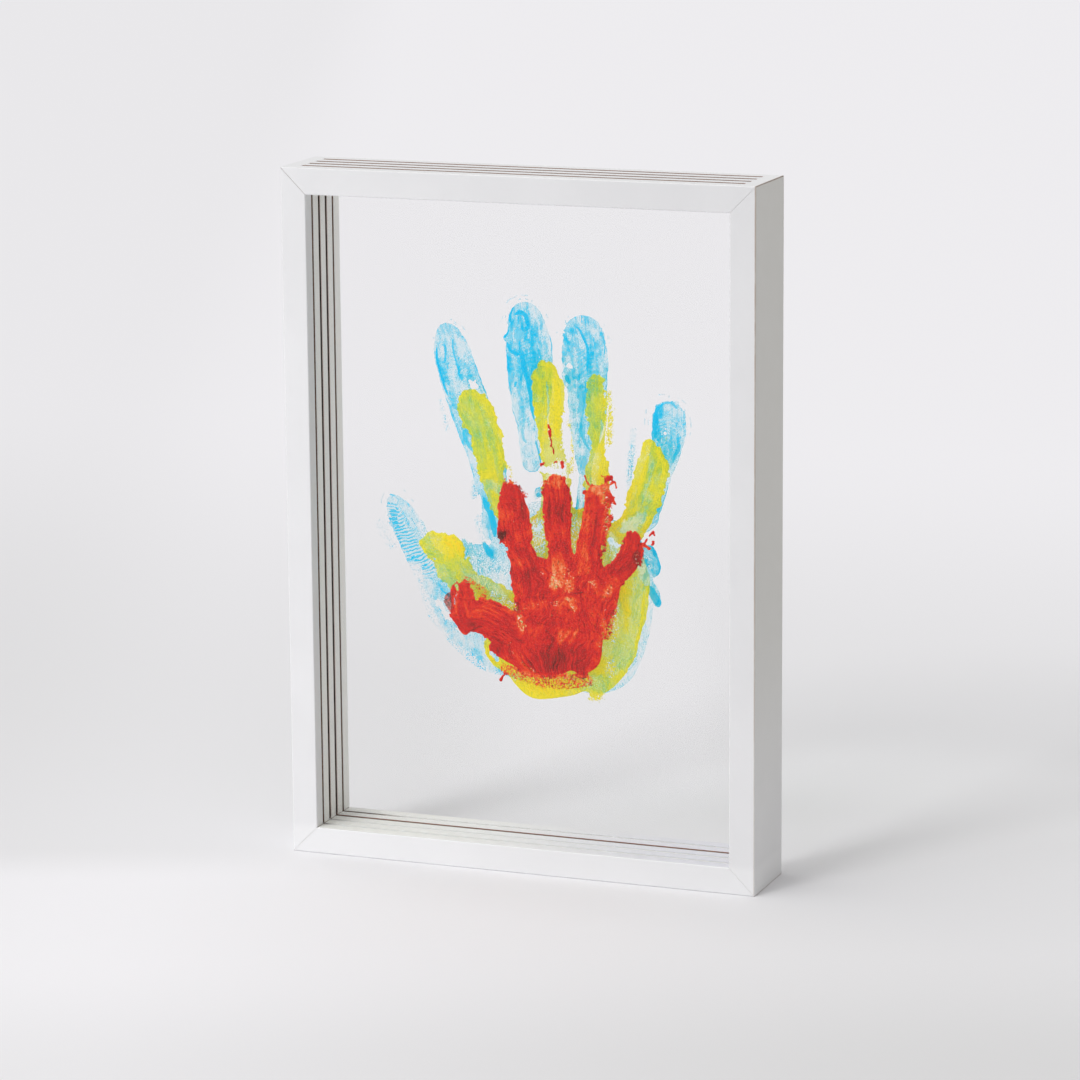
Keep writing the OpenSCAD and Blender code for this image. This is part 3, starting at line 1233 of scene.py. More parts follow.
    @staticmethod
    def no_pinches(corners: np.ndarray, keep: np.ndarray, count: int) -> np.ndarray:
        """Fills faces until no two kept ones meet at a corner only, in twelve rounds at most.

        Args:
            corners: each face's four points.
            keep: which faces stay.
            count: how many points there are.

        Returns:
            Which faces stay now.
        """
        for _ in range(12):
            used = np.zeros(count, int)
            np.add.at(used, corners[keep].ravel(), 1)
            edges = np.concatenate([corners[:, [i, (i + 1) % 4]] for i in range(4)])
            owner = np.tile(np.arange(len(corners)), 4)
            edges.sort(1)
            key = edges[:, 0].astype(np.int64) * count + edges[:, 1]
            order = np.argsort(key, kind="stable")
            key, owner = key[order], owner[order]
            pair = np.nonzero(key[1:] == key[:-1])[0]
            both = keep[owner[pair]] & keep[owner[pair + 1]]
            shared = np.zeros(count, int)
            ends = np.stack([key[pair][both] // count, key[pair][both] % count], 1)
            np.add.at(shared, ends.ravel().astype(int), 1)
            pinched = (used == 2) & (shared == 0)
            if not pinched.any():
                break
            keep = keep | pinched[corners].any(1)
        return keep

    def pull_rim(self) -> None:
        """Moves the rim's points onto the paint's edge, so that it runs smooth and not in steps."""
        mesh = self.made.data
        edges = np.empty(len(mesh.loops), np.int32)
        mesh.loops.foreach_get("edge_index", edges)
        uses = np.bincount(edges, minlength=len(mesh.edges))
        ends = np.empty(len(mesh.edges) * 2, np.int32)
        mesh.edges.foreach_get("vertices", ends)
        rim = np.unique(ends.reshape(-1, 2)[uses == 1])
        co = self.points()
        at = self.to_hand(co[rim])
        step = 0.05
        furthest = 0.62 * self.cell * 100 / self.length
        start = at.copy()
        for _ in range(2):
            here = self.coverage(at)
            slope = np.stack([self.coverage(at + way) - here for way in np.eye(2) * step], 1) / step
            steep = np.maximum((slope**2).sum(1), 0.15)
            at = at - (here / steep)[:, None] * slope
            moved = at - start
            size = np.maximum(np.hypot(*moved.T), TINY)
            at = start + moved * np.minimum(1, furthest / size)[:, None]
        for axis, flat in ((0, 0), (2, 1)):
            co[rim, axis] = (at[:, flat] * self.length / 100 + self.heel[flat]) * MM
        self.put_points(co)

    def thicken(self) -> None:
        """Gives the film its thickness: flat on the sheet, and higher where more paint lies."""
        bpy.ops.object.modifier_add(type="SOLIDIFY")
        wall = self.made.modifiers[-1]
        wall.thickness, wall.offset = self.edge_thickness * MM, 1.0
        bpy.ops.object.modifier_apply(modifier=wall.name)
        co = self.points()
        half = len(co) // 2
        at = self.to_hand(co[:half])
        amounts = self.amounts(at)
        depth = amounts["edge"] = self.coverage(at) * self.length / 100
        swell = rise(depth, 0.0, 0.9) * (0.15 + 0.85 * amounts["load"]) * self.most_relief
        swell = np.tile(swell, 2)
        front = co[:, 1] < (self.sheet_face - self.edge_thickness / 2) * MM
        co[:, 1] -= np.where(front, swell * MM, 0)
        self.put_points(co)
        for name, values in amounts.items():
            kind, key = ("FLOAT_VECTOR", "vector") if values.ndim == 2 else ("FLOAT", "value")
            layer = self.made.data.attributes.new(name, kind, "POINT")
            layer.data.foreach_set(key, np.concatenate([values, values]).astype(np.float32).ravel())

    def dress(self) -> None:
        """Smooths the film's shading, gives it its paint, and hands it to its sheet."""
        bpy.ops.object.shade_smooth_by_angle(angle=math.radians(50))
        self.made.data.materials.clear()
        self.made.data.materials.append(self.finish.material())
        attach(self.made, self.body)
        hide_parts(self.node)


# ---- The three hands ------------------------------------------------------------------------

GROWN_LONG_HAND = HandShape(
    fingers=(
        (
            (-42.3, 47, 2.2), (-40.3, 43.5, 3.9), (-38, 39.5, 4.4), (-35.5, 34.5, 4.3), (-31.5, 29, 5.5),
            (-27, 22, 7.5),
        ),
        (
            (-27.2, 90.8, 3.4), (-26, 86.5, 4.9), (-24.2, 81, 5.3), (-21.8, 74, 5.5), (-19.3, 67, 5.3),
            (-16.8, 59, 4.8), (-15.2, 50, 3.6), (-14.5, 42, 3.4),
        ),
        (
            (-6, 96, 4.6), (-5.4, 91, 5.9), (-5.2, 86, 6.2), (-5.1, 80, 5.8), (-5, 74.5, 5.0),
            (-5.1, 69.5, 3.6), (-5.3, 64.5, 2.9), (-4.9, 60, 2.5),
        ),
        (
            (9.3, 93.2, 4.9), (9.5, 88, 6), (10, 82, 5.6), (10.2, 75, 5.0), (9.8, 69, 4.2), (9.4, 63, 2.6),
            (9.4, 57, 1.7), (9.5, 50, 2.6),
        ),
        (
            (31.8, 73.2, 4.4), (31.7, 69.3, 4.4), (31, 65.5, 3.9), (29.6, 61, 3.6), (28, 56, 3.4),
            (24.5, 48, 4.2),
        ),
    ),
    palm=(
        (-34.5, 30), (-35.5, 25.5), (-33, 19.5), (-29.5, 13.5), (-25, 9), (-19, 5), (-13, 4), (-5, 2.5),
        (5, 2), (12, 1.3), (18, 3), (22, 6.5), (25, 13), (27, 21), (27.5, 29), (27, 36), (24, 42),
        (20, 46), (14, 47), (6, 49), (-3, 50), (-10, 47), (-14, 42), (-16, 38), (-22, 37.5), (-27, 34),
    ),
    drips=(
        ((-11.2, 91.2, 1.0),),
        ((4.9, 82.6, 1.4), (5.2, 80.8, 1.2)),
        ((26.3, 38.5, 2.2), (28, 35, 1.5), (27.4, 33.5, 1.0)),
        ((26, 31.6, 1.2), (27.5, 28.8, 1.5), (28.6, 26.2, 1.1)),
        ((-2.9, 52.3, 1.3), (-4, 51, 0.5)),
        ((-18, 38, 0.45), (-17, 36.8, 0.8)),
        ((-23.6, 38.4, 0.22), (-22.4, 36.8, 0.26)),
        ((-21.5, 38, 0.22), (-20.9, 36.2, 0.26)),
    ),
    gaps=(
        ((-21.2, 79.5, 0.7), (-19.8, 78.6, 0.8)),
        ((5.2, 85.2, 0.5), (6.4, 84.6, 0.4)),
        ((-26.5, 18.5, 1.6), (-23.5, 15.5, 1.5)),
        ((-31, 22, 0.9), (-28.5, 18.5, 1.0)),
        ((31.4, 71.6, 0.25), (30.9, 70.2, 0.45), (31.3, 69, 0.3)),
    ),
    trails=(
        Trail(((-30.3, 88.5), (-30.2, 85), (-29.3, 81.5), (-28.3, 78), (-27, 75)), 0.55, 0.95),
        Trail(((-20.3, 87), (-19.3, 83), (-17.8, 79), (-15.9, 75), (-14.3, 71.5)), 0.4, 0.9),
        Trail(((-29.2, 88.7), (-28, 88.3), (-27.9, 86), (-28.2, 84.2), (-29.2, 84.4)), 0.5, 0.8),
        Trail(((-26, 90.5), (-25.7, 87), (-24.8, 84), (-24.2, 81.5), (-23.5, 79.5)), 0.5, 0.8),
        Trail(((-24.8, 84.5), (-23, 83.5), (-21, 83.9)), 0.7, 0.5),
        Trail(((-22.8, 81), (-21, 80.5), (-19.6, 80.6)), 0.6, 0.6),
        Trail(((-23.4, 66.6), (-22.4, 64.3), (-21, 62)), 0.9, 0.7),
        Trail(((-9.5, 99.6), (-10.4, 97.5), (-10.3, 95.5)), 0.9, 0.95),
        Trail(((-9, 97.4), (-7.5, 98), (-6, 97), (-5.6, 94.6)), 1.0, 0.95),
        Trail(((-11.9, 91.3), (-10.7, 93.4)), 0.7, 0.95),
        Trail(((-11.4, 90.4), (-10.3, 88.2), (-8.7, 87.4), (-7.3, 87.4)), 0.8, 0.95),
        Trail(((-9, 93), (-7, 91.5)), 2.6, 0.55),
        Trail(((-4.8, 94), (-4.5, 91), (-4.9, 88)), 0.5, 0.8),
        Trail(((-11.4, 87), (-11.4, 84), (-10.7, 80), (-10, 76)), 0.4, 0.9),
        Trail(((-6.8, 87.3), (-7, 84.5), (-5.9, 81), (-5, 77), (-4.6, 73.5), (-4, 70.5)), 0.85, 0.95),
        Trail(((0.2, 93.3), (0.8, 90), (1.0, 86.2)), 0.35, 0.95),
        Trail(((-7.3, 69), (-7, 66), (-6, 64.6)), 0.6, 0.55),
        Trail(((-3.9, 66), (-2.9, 62.5), (-2.5, 60.2)), 0.45, 0.9),
        Trail(((4.3, 94.5), (4.1, 92), (4.5, 90)), 0.6, 0.7),
        Trail(((3.5, 88), (3.6, 85.6)), 0.5, 0.85),
        Trail(((4.6, 82.8), (5.2, 81)), 1.1, 0.95),
        Trail(((7, 95.2), (8.2, 94.4), (9.2, 92.5), (10.3, 90), (10.4, 87), (10.2, 83.5)), 0.6, 0.95),
        Trail(((6.2, 92.5), (6.0, 88.5), (6.6, 84.5)), 0.45, 0.55),
        Trail(((7.9, 92), (8, 88), (8.6, 84)), 0.4, 0.55),
        Trail(((14.2, 94), (14.9, 91), (14.7, 88)), 0.35, 0.75),
        Trail(((12.2, 90.5), (12.4, 87), (12, 84)), 0.4, 0.45),
        Trail(((8.4, 79.5), (8.5, 76), (7.6, 73)), 0.8, 0.6),
        Trail(((10.8, 75.5), (10.7, 72.5)), 0.7, 0.85),
        Trail(((8.3, 69.5), (9.2, 66.4), (10.8, 64)), 0.6, 0.7),
        Trail(((30.4, 77), (28.6, 75.2), (27.9, 72.5), (27.9, 70), (28.4, 67.8)), 0.85, 0.9),
        Trail(((30.4, 77), (32.3, 77.3), (34, 75.8)), 0.6, 0.65),
        Trail(((34.7, 67.2), (34, 65), (33, 64)), 0.8, 0.9),
        Trail(((31.6, 66.8), (32.2, 65)), 0.5, 0.7),
        Trail(((-44, 48.5), (-43, 46), (-41.7, 42.5), (-39.6, 38.5), (-37, 35), (-34.5, 31.5)), 2.4, 0.66),
        Trail(((-30.5, 26), (-29, 24.6), (-27, 23.6)), 0.4, 0.85),
        Trail(((-18, 50.2), (-17.1, 47.9), (-15.9, 45.6), (-15.2, 42.6), (-15, 40)), 1.5, 0.95),
        Trail(((-18.1, 38.3), (-17.3, 37), (-16.4, 35.6), (-15.8, 34.6)), 1.5, 0.95),
        Trail(((-23.6, 38.4), (-22.4, 36.8), (-21.2, 35.2)), 0.35, 0.6),
        Trail(((-21.5, 38), (-20.9, 36.2), (-20, 34.6)), 0.35, 0.6),
        Trail(((-3, 52.2), (-3.3, 51.2)), 0.9, 0.8),
        Trail(((28.7, 38.4), (29.3, 35), (28.6, 32.4)), 0.6, 0.8),
        Trail(((26.2, 30.4), (27.4, 28.4), (28.6, 26.4), (29, 25)), 1.9, 0.93),
    ),
    stains=(
        Stain(((-21, 34, 4), (-14, 30, 5)), 0.04, dry=0.62),
        Stain(((-37, 45, 2), (-34.5, 40, 2.4)), dry=0.7),
        Stain(((-37, 29, 3), (-35, 20, 3.4), (-30, 14, 2.6)), -0.14, dry=0.82),
        Stain(
            ((-27, 11.4, 1.8), (-23.6, 8.7, 2), (-20, 6, 2), (-16, 4.2, 1.8), (-11, 3.4, 1.6)), 0.16, dry=0.78
        ),
        Stain(((-4.5, 49, 3),), dry=0.7),
        Stain(((27, 26, 2.4), (26.4, 16, 2.4), (23, 7.6, 2.2), (17, 3, 2)), -0.12, dry=0.56),
        Stain(((-7, 67, 2), (-7, 61, 2)), dry=0.55),
        Stain(((-1.5, 92, 2), (-1.2, 84, 2)), dry=0.45),
        Stain(((-22, 89, 2), (-21, 84, 1.6)), dry=0.4),
        Stain(((6, 55, 1.6), (7.5, 60, 1.2)), dry=0.5),
        Stain(((-26, 88, 3), (-24, 80, 4)), -0.13),
        Stain(((31, 71, 4), (30, 62, 3)), 0.22),
        Stain(((-30, 28, 5), (-22, 12, 5)), -0.04),
        Stain(((-44, 47, 3), (-41.5, 41, 3.4), (-38, 35, 3.4), (-34.5, 30, 3)), 0.1, comb=0.9),
        Stain(((-42, 46, 3), (-38, 38, 3.4), (-35, 31, 3)), 0.12),
        Stain(((-18, 36, 6),), 0.06),
        Stain(((25.5, 41, 2.6), (28, 36.6, 2.2), (27.4, 33, 1.6)), 0.16),
        Stain(((23, 36, 4), (23, 20, 4), (18, 9, 4)), -0.16),
        Stain(((8, 91, 5), (9, 80, 4.5), (10, 66, 4)), 0.14),
        Stain(((-8.5, 93, 4), (-7.5, 86, 4), (-6.5, 78, 3)), 0.12),
        Stain(((-25, 80, 4), (-23, 72, 4), (-20, 64, 4)), 0.13),
        Stain(((-1.6, 92, 3), (-1.6, 82, 3)), 0.06),
        Stain(((-2, 90, 2.4), (-1.4, 80, 2.4)), 0.13),
    ),
    sprays=(
        Spray(((22.5, 70, 1.2), (21.8, 62, 1.4), (21, 55, 1.2)), 0.71),
        Spray(((-20, 54, 1.4), (-20.5, 50.5, 1.4)), 0.71),
        Spray(((-29.5, 74, 0.8), (-27.5, 67, 0.9)), 0.71),
        Spray(((-46, 41, 2.2), (-43.5, 36, 1.5)), 0.82),
        Spray(((-23.5, 38, 1.2), (-21, 35.5, 1.6)), 0.6),
        Spray(((-19, 44, 2.0), (-18, 40, 1.8)), 0.79),
    ),
    halo=1.0,
    raggedness=0.35,
)

GROWN_SHORT_HAND = HandShape(
    fingers=(
        ((-37.5, 43.6, 4.1), (-33, 42.3, 4.8), (-32, 38, 5.4), (-27, 33, 4.6), (-21, 28, 7), (-15, 22, 8)),
        (
            (-24.5, 86.5, 4.5), (-23.8, 84, 5.5), (-21, 78, 4.8), (-19.8, 72, 4.8), (-18.3, 65, 4.4),
            (-16.5, 58, 3.6), (-12.8, 50, 2.8),
        ),
        (
            (-2.3, 96, 3.8), (-1.6, 91, 5), (-1.3, 86, 4.7), (-1.0, 80, 3.6), (-0.6, 75, 3.6), (0.4, 70.5, 4.0),
            (1, 64, 4.4), (1, 55, 5),
        ),
        (
            (13, 94, 2.9), (13.1, 88, 3.1), (13.2, 82, 2.7), (13.6, 77, 1.8), (13.6, 72.5, 2.8),
            (13.5, 69, 3.5), (13.5, 60, 3.8), (13, 52, 4.5),
        ),
        ((29.8, 76.4, 2.6), (30.4, 72, 4.6), (28.9, 66, 5), (27.2, 60, 5), (25, 55, 4.4), (20, 48, 5)),
    ),
    palm=(
        (-13, 32), (-13, 45), (-8, 53.5), (-2, 55), (6, 57), (12, 56), (18, 53.5), (23, 51), (27.6, 44),
        (29.4, 37), (28.3, 28), (26.3, 21), (24.8, 15), (22, 10), (18.5, 5.8), (14.5, 3), (12, 2.2),
        (9.5, 3.6), (6, 2.2), (1, 1), (-5, 0), (-9, 1), (-12.5, 4), (-14.5, 6.5), (-19, 9), (-22, 13),
        (-21.5, 17), (-19, 22), (-17, 27),
    ),
    gaps=(
        ((4.6, 80.5, 0.8), (4.4, 75, 1.4), (4.9, 71.5, 0.7)),
        ((-3.2, 68.3, 0.9), (1.2, 68, 0.8), (3.4, 69.5, 0.8)),
        ((-14.4, 67.2, 0.9), (-13.9, 64.5, 0.8)),
        ((-4, 51.6, 0.6), (-5.6, 50.4, 0.6)),
        ((-20, 12.5, 0.8), (-18.3, 11.2, 0.9)),
        ((17.5, 49, 0.7), (19.5, 47, 0.7)),
    ),
    trails=(
        Trail(((-1.8, 94), (-1.4, 88), (-1.5, 82), (-0.8, 76)), 0.35, 0.15),
        Trail(((0.6, 95), (1.4, 90), (1.3, 84), (0.8, 79)), 0.9, 0.95),
        Trail(((-5.8, 88), (-4.6, 84)), 1.2, 0.9),
        Trail(((15.9, 94), (15.9, 90), (15.2, 86)), 0.4, 0.95),
        Trail(((14.9, 84), (14.9, 80), (14.2, 77)), 0.4, 0.2),
        Trail(((-25, 88), (-23, 84), (-21.5, 79), (-20.5, 72)), 0.7, 0.72),
        Trail(((-27.5, 84), (-25.5, 80)), 1.2, 0.5),
        Trail(((-19, 80), (-18, 72), (-17, 66)), 0.6, 0.5),
        Trail(((-20.5, 64), (-18, 62), (-16, 60)), 1.4, 0.35),
        Trail(((31, 77), (33.6, 73), (33.8, 69)), 0.6, 0.95),
        Trail(((30.5, 71), (28.5, 65), (26.6, 59)), 0.35, 0.3),
        Trail(((29, 74), (27.5, 68), (25.6, 62)), 0.7, 0.8),
        Trail(((28, 57), (24, 54), (21, 52)), 2.2, 0.12),
        Trail(((1, 71), (1.5, 63)), 3.6, 0.2),
        Trail(((-34, 46), (-30, 44), (-28.5, 41)), 1.6, 0.95),
        Trail(((-37, 38), (-33, 33), (-28, 29)), 2.8, 0.4),
        Trail(((-26, 35.6), (-20, 32.8), (-15, 30)), 1.5, 0.3),
        Trail(((26, 47), (27.6, 42), (28.4, 37)), 2.2, 0.08),
        Trail(((-3, 72.6), (0.5, 72.4), (4.5, 73)), 2.2, 0.55),
        Trail(((14.6, 83.6), (15.4, 82), (15, 79.6), (14.2, 77.6)), 0.5, 0.1),
        Trail(((-14, 4), (-10, 4), (0, 4.6), (8, 6)), 1.6, 0.8),
        Trail(((-12, 2.5), (-6, 1.6), (2, 2.4)), 2.6, 0.97),
        Trail(((-20.5, 14), (-17, 9.5), (-12, 8)), 0.9, 0.9),
        Trail(((25, 38), (25.5, 28), (23, 18), (19, 10)), 2.4, 0.42),
        Trail(((19.5, 33), (20.5, 24), (19, 15)), 1.2, 0.5),
        Trail(((27.6, 34), (26.6, 24), (24.6, 17)), 0.5, 0.75),
        Trail(((12, 8), (14, 5)), 3.0, 0.45),
        Trail(((17.5, 51), (19, 46), (20, 40)), 1.5, 0.3),
    ),
    stains=(
        Stain(((-5, 52, 2.6), (-4.5, 45, 2.6)), dry=0.7),
        Stain(((7, 54, 2.2), (7, 46, 2)), dry=0.6),
        Stain(((17.5, 46, 2.4), (19.5, 41, 2)), dry=0.6),
        Stain(((18.5, 30, 1.2), (18.8, 20, 1.4), (17, 9, 1.6)), dry=0.6),
        Stain(((-8, 7, 1.6), (2, 6, 1.8), (10, 6, 1.8)), dry=0.5),
        Stain(((2, 69.5, 3.2),), dry=0.8),
        Stain(((3.6, 81, 1.4), (3.6, 75, 1.6)), dry=0.7),
        Stain(((-18, 30, 2), (-13, 27, 2)), dry=0.6),
        Stain(((22, 5, 2.4), (14, 1, 2.4)), dry=0.5),
        Stain(((-26, 85, 3), (-22, 79, 3.5)), -0.36),
        Stain(((13.2, 91, 3), (13.4, 80, 2.6)), -0.3),
        Stain(((0.4, 74.4, 3.4), (1, 67, 4.4), (1, 59, 4.4)), -0.45),
        Stain(((20, 15, 4), (14, 8, 4)), -0.2),
        Stain(((-26, 35.5, 2.4), (-16, 30.5, 2.4)), -0.34, dry=0.35),
        Stain(((-34, 44, 4), (-30, 41, 4)), 0.22),
        Stain(((-8, 2, 4), (2, 3, 3)), 0.04),
    ),
    sprays=(
        Spray(((17.1, 92, 1.2), (17.5, 86, 1.3), (17.2, 77.5, 1.4)), 0.66),
        Spray(((4.9, 82, 1.2), (5.2, 74, 1.6), (5.4, 68.5, 1.4)), 0.69),
        Spray(((-13.6, 68, 1.2), (-13, 63.5, 1.3)), 0.69),
        Spray(((-27, 38, 0.9), (-26.5, 41, 0.9)), 0.6),
        Spray(((11, 1.6, 1.2), (14.5, 2, 1.1)), 0.6),
        Spray(((28.5, 56, 0.9), (27, 53.5, 1.0)), 0.66),
        Spray(((34.4, 80.2, 0.6), (34.2, 79, 0.5)), 0.34),
    ),
    raggedness=1.05,
    tears=1.8,
)

CHILD_HAND = HandShape(
    fingers=(
        (
            (-52, 37, 6), (-50.5, 29, 7.2), (-48.4, 25.2, 5.8), (-40, 26.5, 9), (-32, 23, 9.6), (-24, 17, 11),
            (-15, 12, 12),
        ),
        (
            (-26.5, 88, 5.2), (-25, 82, 7.6), (-24.3, 75, 8.3), (-24, 69, 8.9), (-22.3, 62.5, 7.2),
            (-18.5, 55, 7.4), (-16, 46, 10),
        ),
        ((-2, 94.5, 5.4), (-1.9, 88, 6.9), (-2.3, 80, 7.5), (-2, 72, 6.9), (-1, 64, 6.3), (0, 55, 6.5)),
        (
            (18.8, 92.5, 5.0), (18, 86, 6.1), (17.2, 80, 6.3), (16, 73, 6.2), (14.2, 66, 6.5), (13.5, 58, 7),
            (12, 48, 8.5),
        ),
        ((36.3, 70.5, 4), (35.8, 65, 5.4), (33.3, 59, 5.9), (28, 53, 5.8), (23, 47, 6.5), (17, 38, 9)),
    ),
    palm=(
        (-38, 12.5), (-31, 6.2), (-25, 3.6), (-17, 1.3), (-10, 0.2), (-4, 0.5), (1, 2), (5, 3.3),
        (10, 1.4), (14, 3.4), (18, 6.5), (20, 11), (20.8, 19), (22.5, 28), (25, 37), (28.6, 45.5),
        (24, 54), (14, 60), (4, 59), (-8, 57.5), (-20, 60), (-25.8, 54), (-26.6, 45), (-24.3, 38),
        (-21.6, 33), (-22.4, 28),
    ),
    drips=(
        ((-56, 26, 1.8), (-52.6, 21.6, 2.2), (-50.1, 18.9, 2.1)),
        ((12.1, 99.4, 0.5), (13.5, 96.4, 0.4), (16, 93.8, 0.9)),
        ((12.1, 91.6, 1.0), (13.2, 88.6, 1.5)),
        ((21.5, 95, 1.5), (24.2, 99.2, 0.75), (26, 100.2, 0.4)),
        ((24.2, 96, 1.0), (27.2, 97.4, 0.5), (28, 94.6, 0.4)),
        ((24.6, 91.6, 1.0), (27.1, 87.2, 0.8)),
        ((24.2, 79.5, 1.4), (24, 76, 1.4)),
        ((42, 68, 0.6), (43.7, 71, 0.35)),
        ((44.8, 72.4, 0.35), (46.4, 74.5, 0.4), (47.3, 73, 0.3)),
        ((43.2, 67.4, 0.8), (45, 66.4, 0.75)),
        ((45.9, 68.2, 0.35), (46.7, 69.6, 0.4)),
        ((-32, -4.2, 0.9), (-31, -2.4, 0.5), (-30, -1.4, 0.4)),
        ((-6.4, 122.8, 0.5), (-5.9, 120.2, 0.7), (-5.5, 117.6, 0.5)),
        ((-5.1, 116, 0.4), (-4.3, 112.6, 0.45), (-3.5, 109, 0.25)),
        ((-9.6, 103.8, 0.5), (-8.8, 104.8, 0.3)),
        ((-3.4, 105.3, 0.4), (-2.4, 105.6, 0.3)),
        ((0.4, 105.6, 0.6), (0.9, 103.2, 0.5), (-0.2, 101.2, 0.45)),
    ),
    gaps=(
        ((19.8, 98, 2.2), (17, 96.4, 1.3)),
        ((-54.8, 41, 0.9), (-54.4, 39.4, 0.7)),
        ((-46.8, 41.5, 1.0), (-44, 38.5, 1.2), (-43, 36.6, 0.8)),
        ((-30.8, 62.6, 1.2), (-28.6, 61.4, 0.9)),
        ((25, 84, 0.9), (24.6, 82, 0.7)),
    ),
    trails=(
        Trail(((-20.6, 5.4), (-17.6, 2.8), (-13, 0.8)), 0.6, 0.2),
        Trail(((6, 25.5), (1.5, 20.5), (-1.6, 14), (-3.2, 9.5), (-1, 7)), 0.45, 0.35),
        Trail(((-21, 88), (-19.6, 83), (-19, 77)), 0.8, 0.5),
        Trail(((-58.4, 37.6), (-60, 34), (-58.6, 28)), 2.6, 0.05),
    ),
    stains=(
        Stain(((-2, 98, 5.5),), 0.3),
        Stain(((-2, 60, 2.6), (-1, 50, 3.2), (4, 44, 2.6)), 0.22),
        Stain(((3, 42.4, 0.2), (7, 41.8, 0.35), (11, 42.6, 0.2)), -0.45, soft=0.4),
        Stain(((-18, 38, 0.2), (-10, 38.6, 0.3), (-4, 37.4, 0.2)), -0.3, soft=0.5),
        Stain(((-8, 22, 0.3), (-2, 15, 0.4), (-4, 8, 0.3)), -0.25, soft=0.6),
        Stain(((8, 24, 0.3), (4, 17, 0.3)), 0.3, soft=0.5),
        Stain(((-4.5, 51, 1.6), (-4, 45, 2.2)), 0.3, fleck=0.95),
        Stain(((-1, 47, 3), (3, 52, 3), (4, 44, 3)), 0.1, fleck=0.55),
        Stain(((12, 61, 2), (11, 52, 2.6)), 0.1),
        Stain(((15, 84, 3), (13, 72, 3)), 0.12),
        Stain(((-6, 88, 0.6), (-5.6, 72, 0.8)), -0.2, soft=0.8),
        Stain(((18, 80, 0.6), (16, 66, 0.8)), -0.22, soft=0.8),
        Stain(((5, 37, 3.2),), 0.2, fleck=0.5),
        Stain(((-46, 27, 4), (-36, 29, 3)), 0.06),
        Stain(((-40, 22, 8), (-28, 14, 8)), -0.06),
        Stain(((-31.5, 67, 2.4), (-29, 69, 1.5)), -0.46),
        Stain(((-29.5, 64, 1.2),), 0.3, fleck=0.8),
        Stain(((38, 62, 2.4), (39, 58, 1.4)), -0.24, fleck=0.6),
        Stain(((-59.6, 35, 2.4), (-58.6, 29, 1.6)), -0.34, soft=0.6),
        Stain(((-12, 8, 7), (8, 10, 7)), -0.14),
        Stain(((-8, 6, 6),), -0.05),
        Stain(((-20.5, 84, 1.6), (-19.5, 77, 1.6)), -0.2, fleck=0.3),
        Stain(((-1, 84, 4), (1, 78, 3)), -0.1),
        Stain(((-15, 47, 6),), -0.15),
        Stain(((20, 94, 3.4), (26, 95, 3)), 0.34, dry=0.3, fleck=0.5),
        Stain(((16.5, 46.8, 1.6), (12.8, 48, 1.4)), 0.1, fleck=0.95),
        Stain(((2.6, 39, 1.2), (6.5, 34, 1.2)), 0.1, fleck=0.9),
        Stain(((-21.5, 27, 2.2), (-20.6, 23, 1.6)), 0.2, dry=0.45, fleck=0.9),
        Stain(((-10, 50.4, 1.0),), fleck=0.95),
        Stain(((-6, 36, 1.2), (-2.5, 36.2, 1.2)), fleck=0.85),
        Stain(((-20, 33.5, 1.6), (-8, 36, 1.8)), 0.1, fleck=0.45),
        Stain(((0, 22, 1.2), (-3, 12, 1)), 0.1, fleck=0.3, soft=0.6),
        Stain(((4, 23, 0.3), (-1, 16, 0.4), (-3, 10, 0.3)), 0.22, fleck=0.3, soft=0.5),
        Stain(((13, 99, 2.4), (13, 90, 2.4)), 0.2),
        Stain(((-52, 22, 3), (-47, 21, 3)), -0.14),
        Stain(((-28.5, 12.4, 1.4), (-25, 9, 1.4)), fleck=0.6),
        Stain(((-20, 5.4, 0.5), (-14.5, 1.8, 0.5)), fleck=0.95),
        Stain(((-30, 1, 2), (-19, -2, 2.4), (-9, -3.4, 2.4), (2, -2.8, 2.6), (13, -2, 2)), 0.1, fleck=0.45),
        Stain(((24.4, 46, 1.4), (22.2, 36, 1.2), (21.4, 27, 1.0)), 0.12, dry=0.4, fleck=0.8),
        Stain(((-56, 33, 1), (-53, 40, 1)), 0.1, dry=0.6),
        Stain(((24.5, 50, 2), (22, 40, 2)), 0.14, fleck=0.2),
        Stain(((22, 92, 2), (23.5, 84, 1.6), (23, 74, 1.2)), 0.1, dry=0.5, fleck=0.7),
        Stain(((20.5, 18, 1.5), (21.5, 27, 1.5)), 0.1, dry=0.5, fleck=0.6),
    ),
    sprays=(
        Spray(((-27, 94, 3.4), (-23.5, 92, 2.6), (-18, 88, 1.6)), 0.82),
        Spray(((-30, 1.6, 2.6), (-19, -1.6, 3.4), (-9, -3, 3.6), (2, -2.4, 4.2), (13, -1, 3.2)), 0.71),
        Spray(((-49, 43.5, 2.8), (-42, 39.5, 3), (-41, 36.5, 2.4)), 0.78),
        Spray(((-58.6, 36, 1.6), (-59.2, 33.4, 2.5), (-57.6, 28.6, 1.4)), 0.3),
        Spray(((27.6, 44, 2), (26.2, 36, 2.6), (24.6, 30, 2.6), (23, 22, 2.4)), 0.66),
        Spray(((-23.5, 36, 2), (-23, 30, 2.2), (-22.5, 25, 1.8)), 0.7),
        Spray(((-9, 95, 1.7), (-9.3, 90, 1.5)), 0.78),
        Spray(((21, 99, 2), (23, 92, 2.4), (23.5, 86, 2.8), (24.5, 80, 2)), 0.8),
        Spray(((22.5, 76, 1.6), (22, 70, 1.6), (22.4, 64, 1.3)), 0.72),
        Spray(((40.5, 66, 1.4), (40.5, 58.5, 1.5)), 0.89),
    ),
    raggedness=0.6,
    tears=3.4,
)

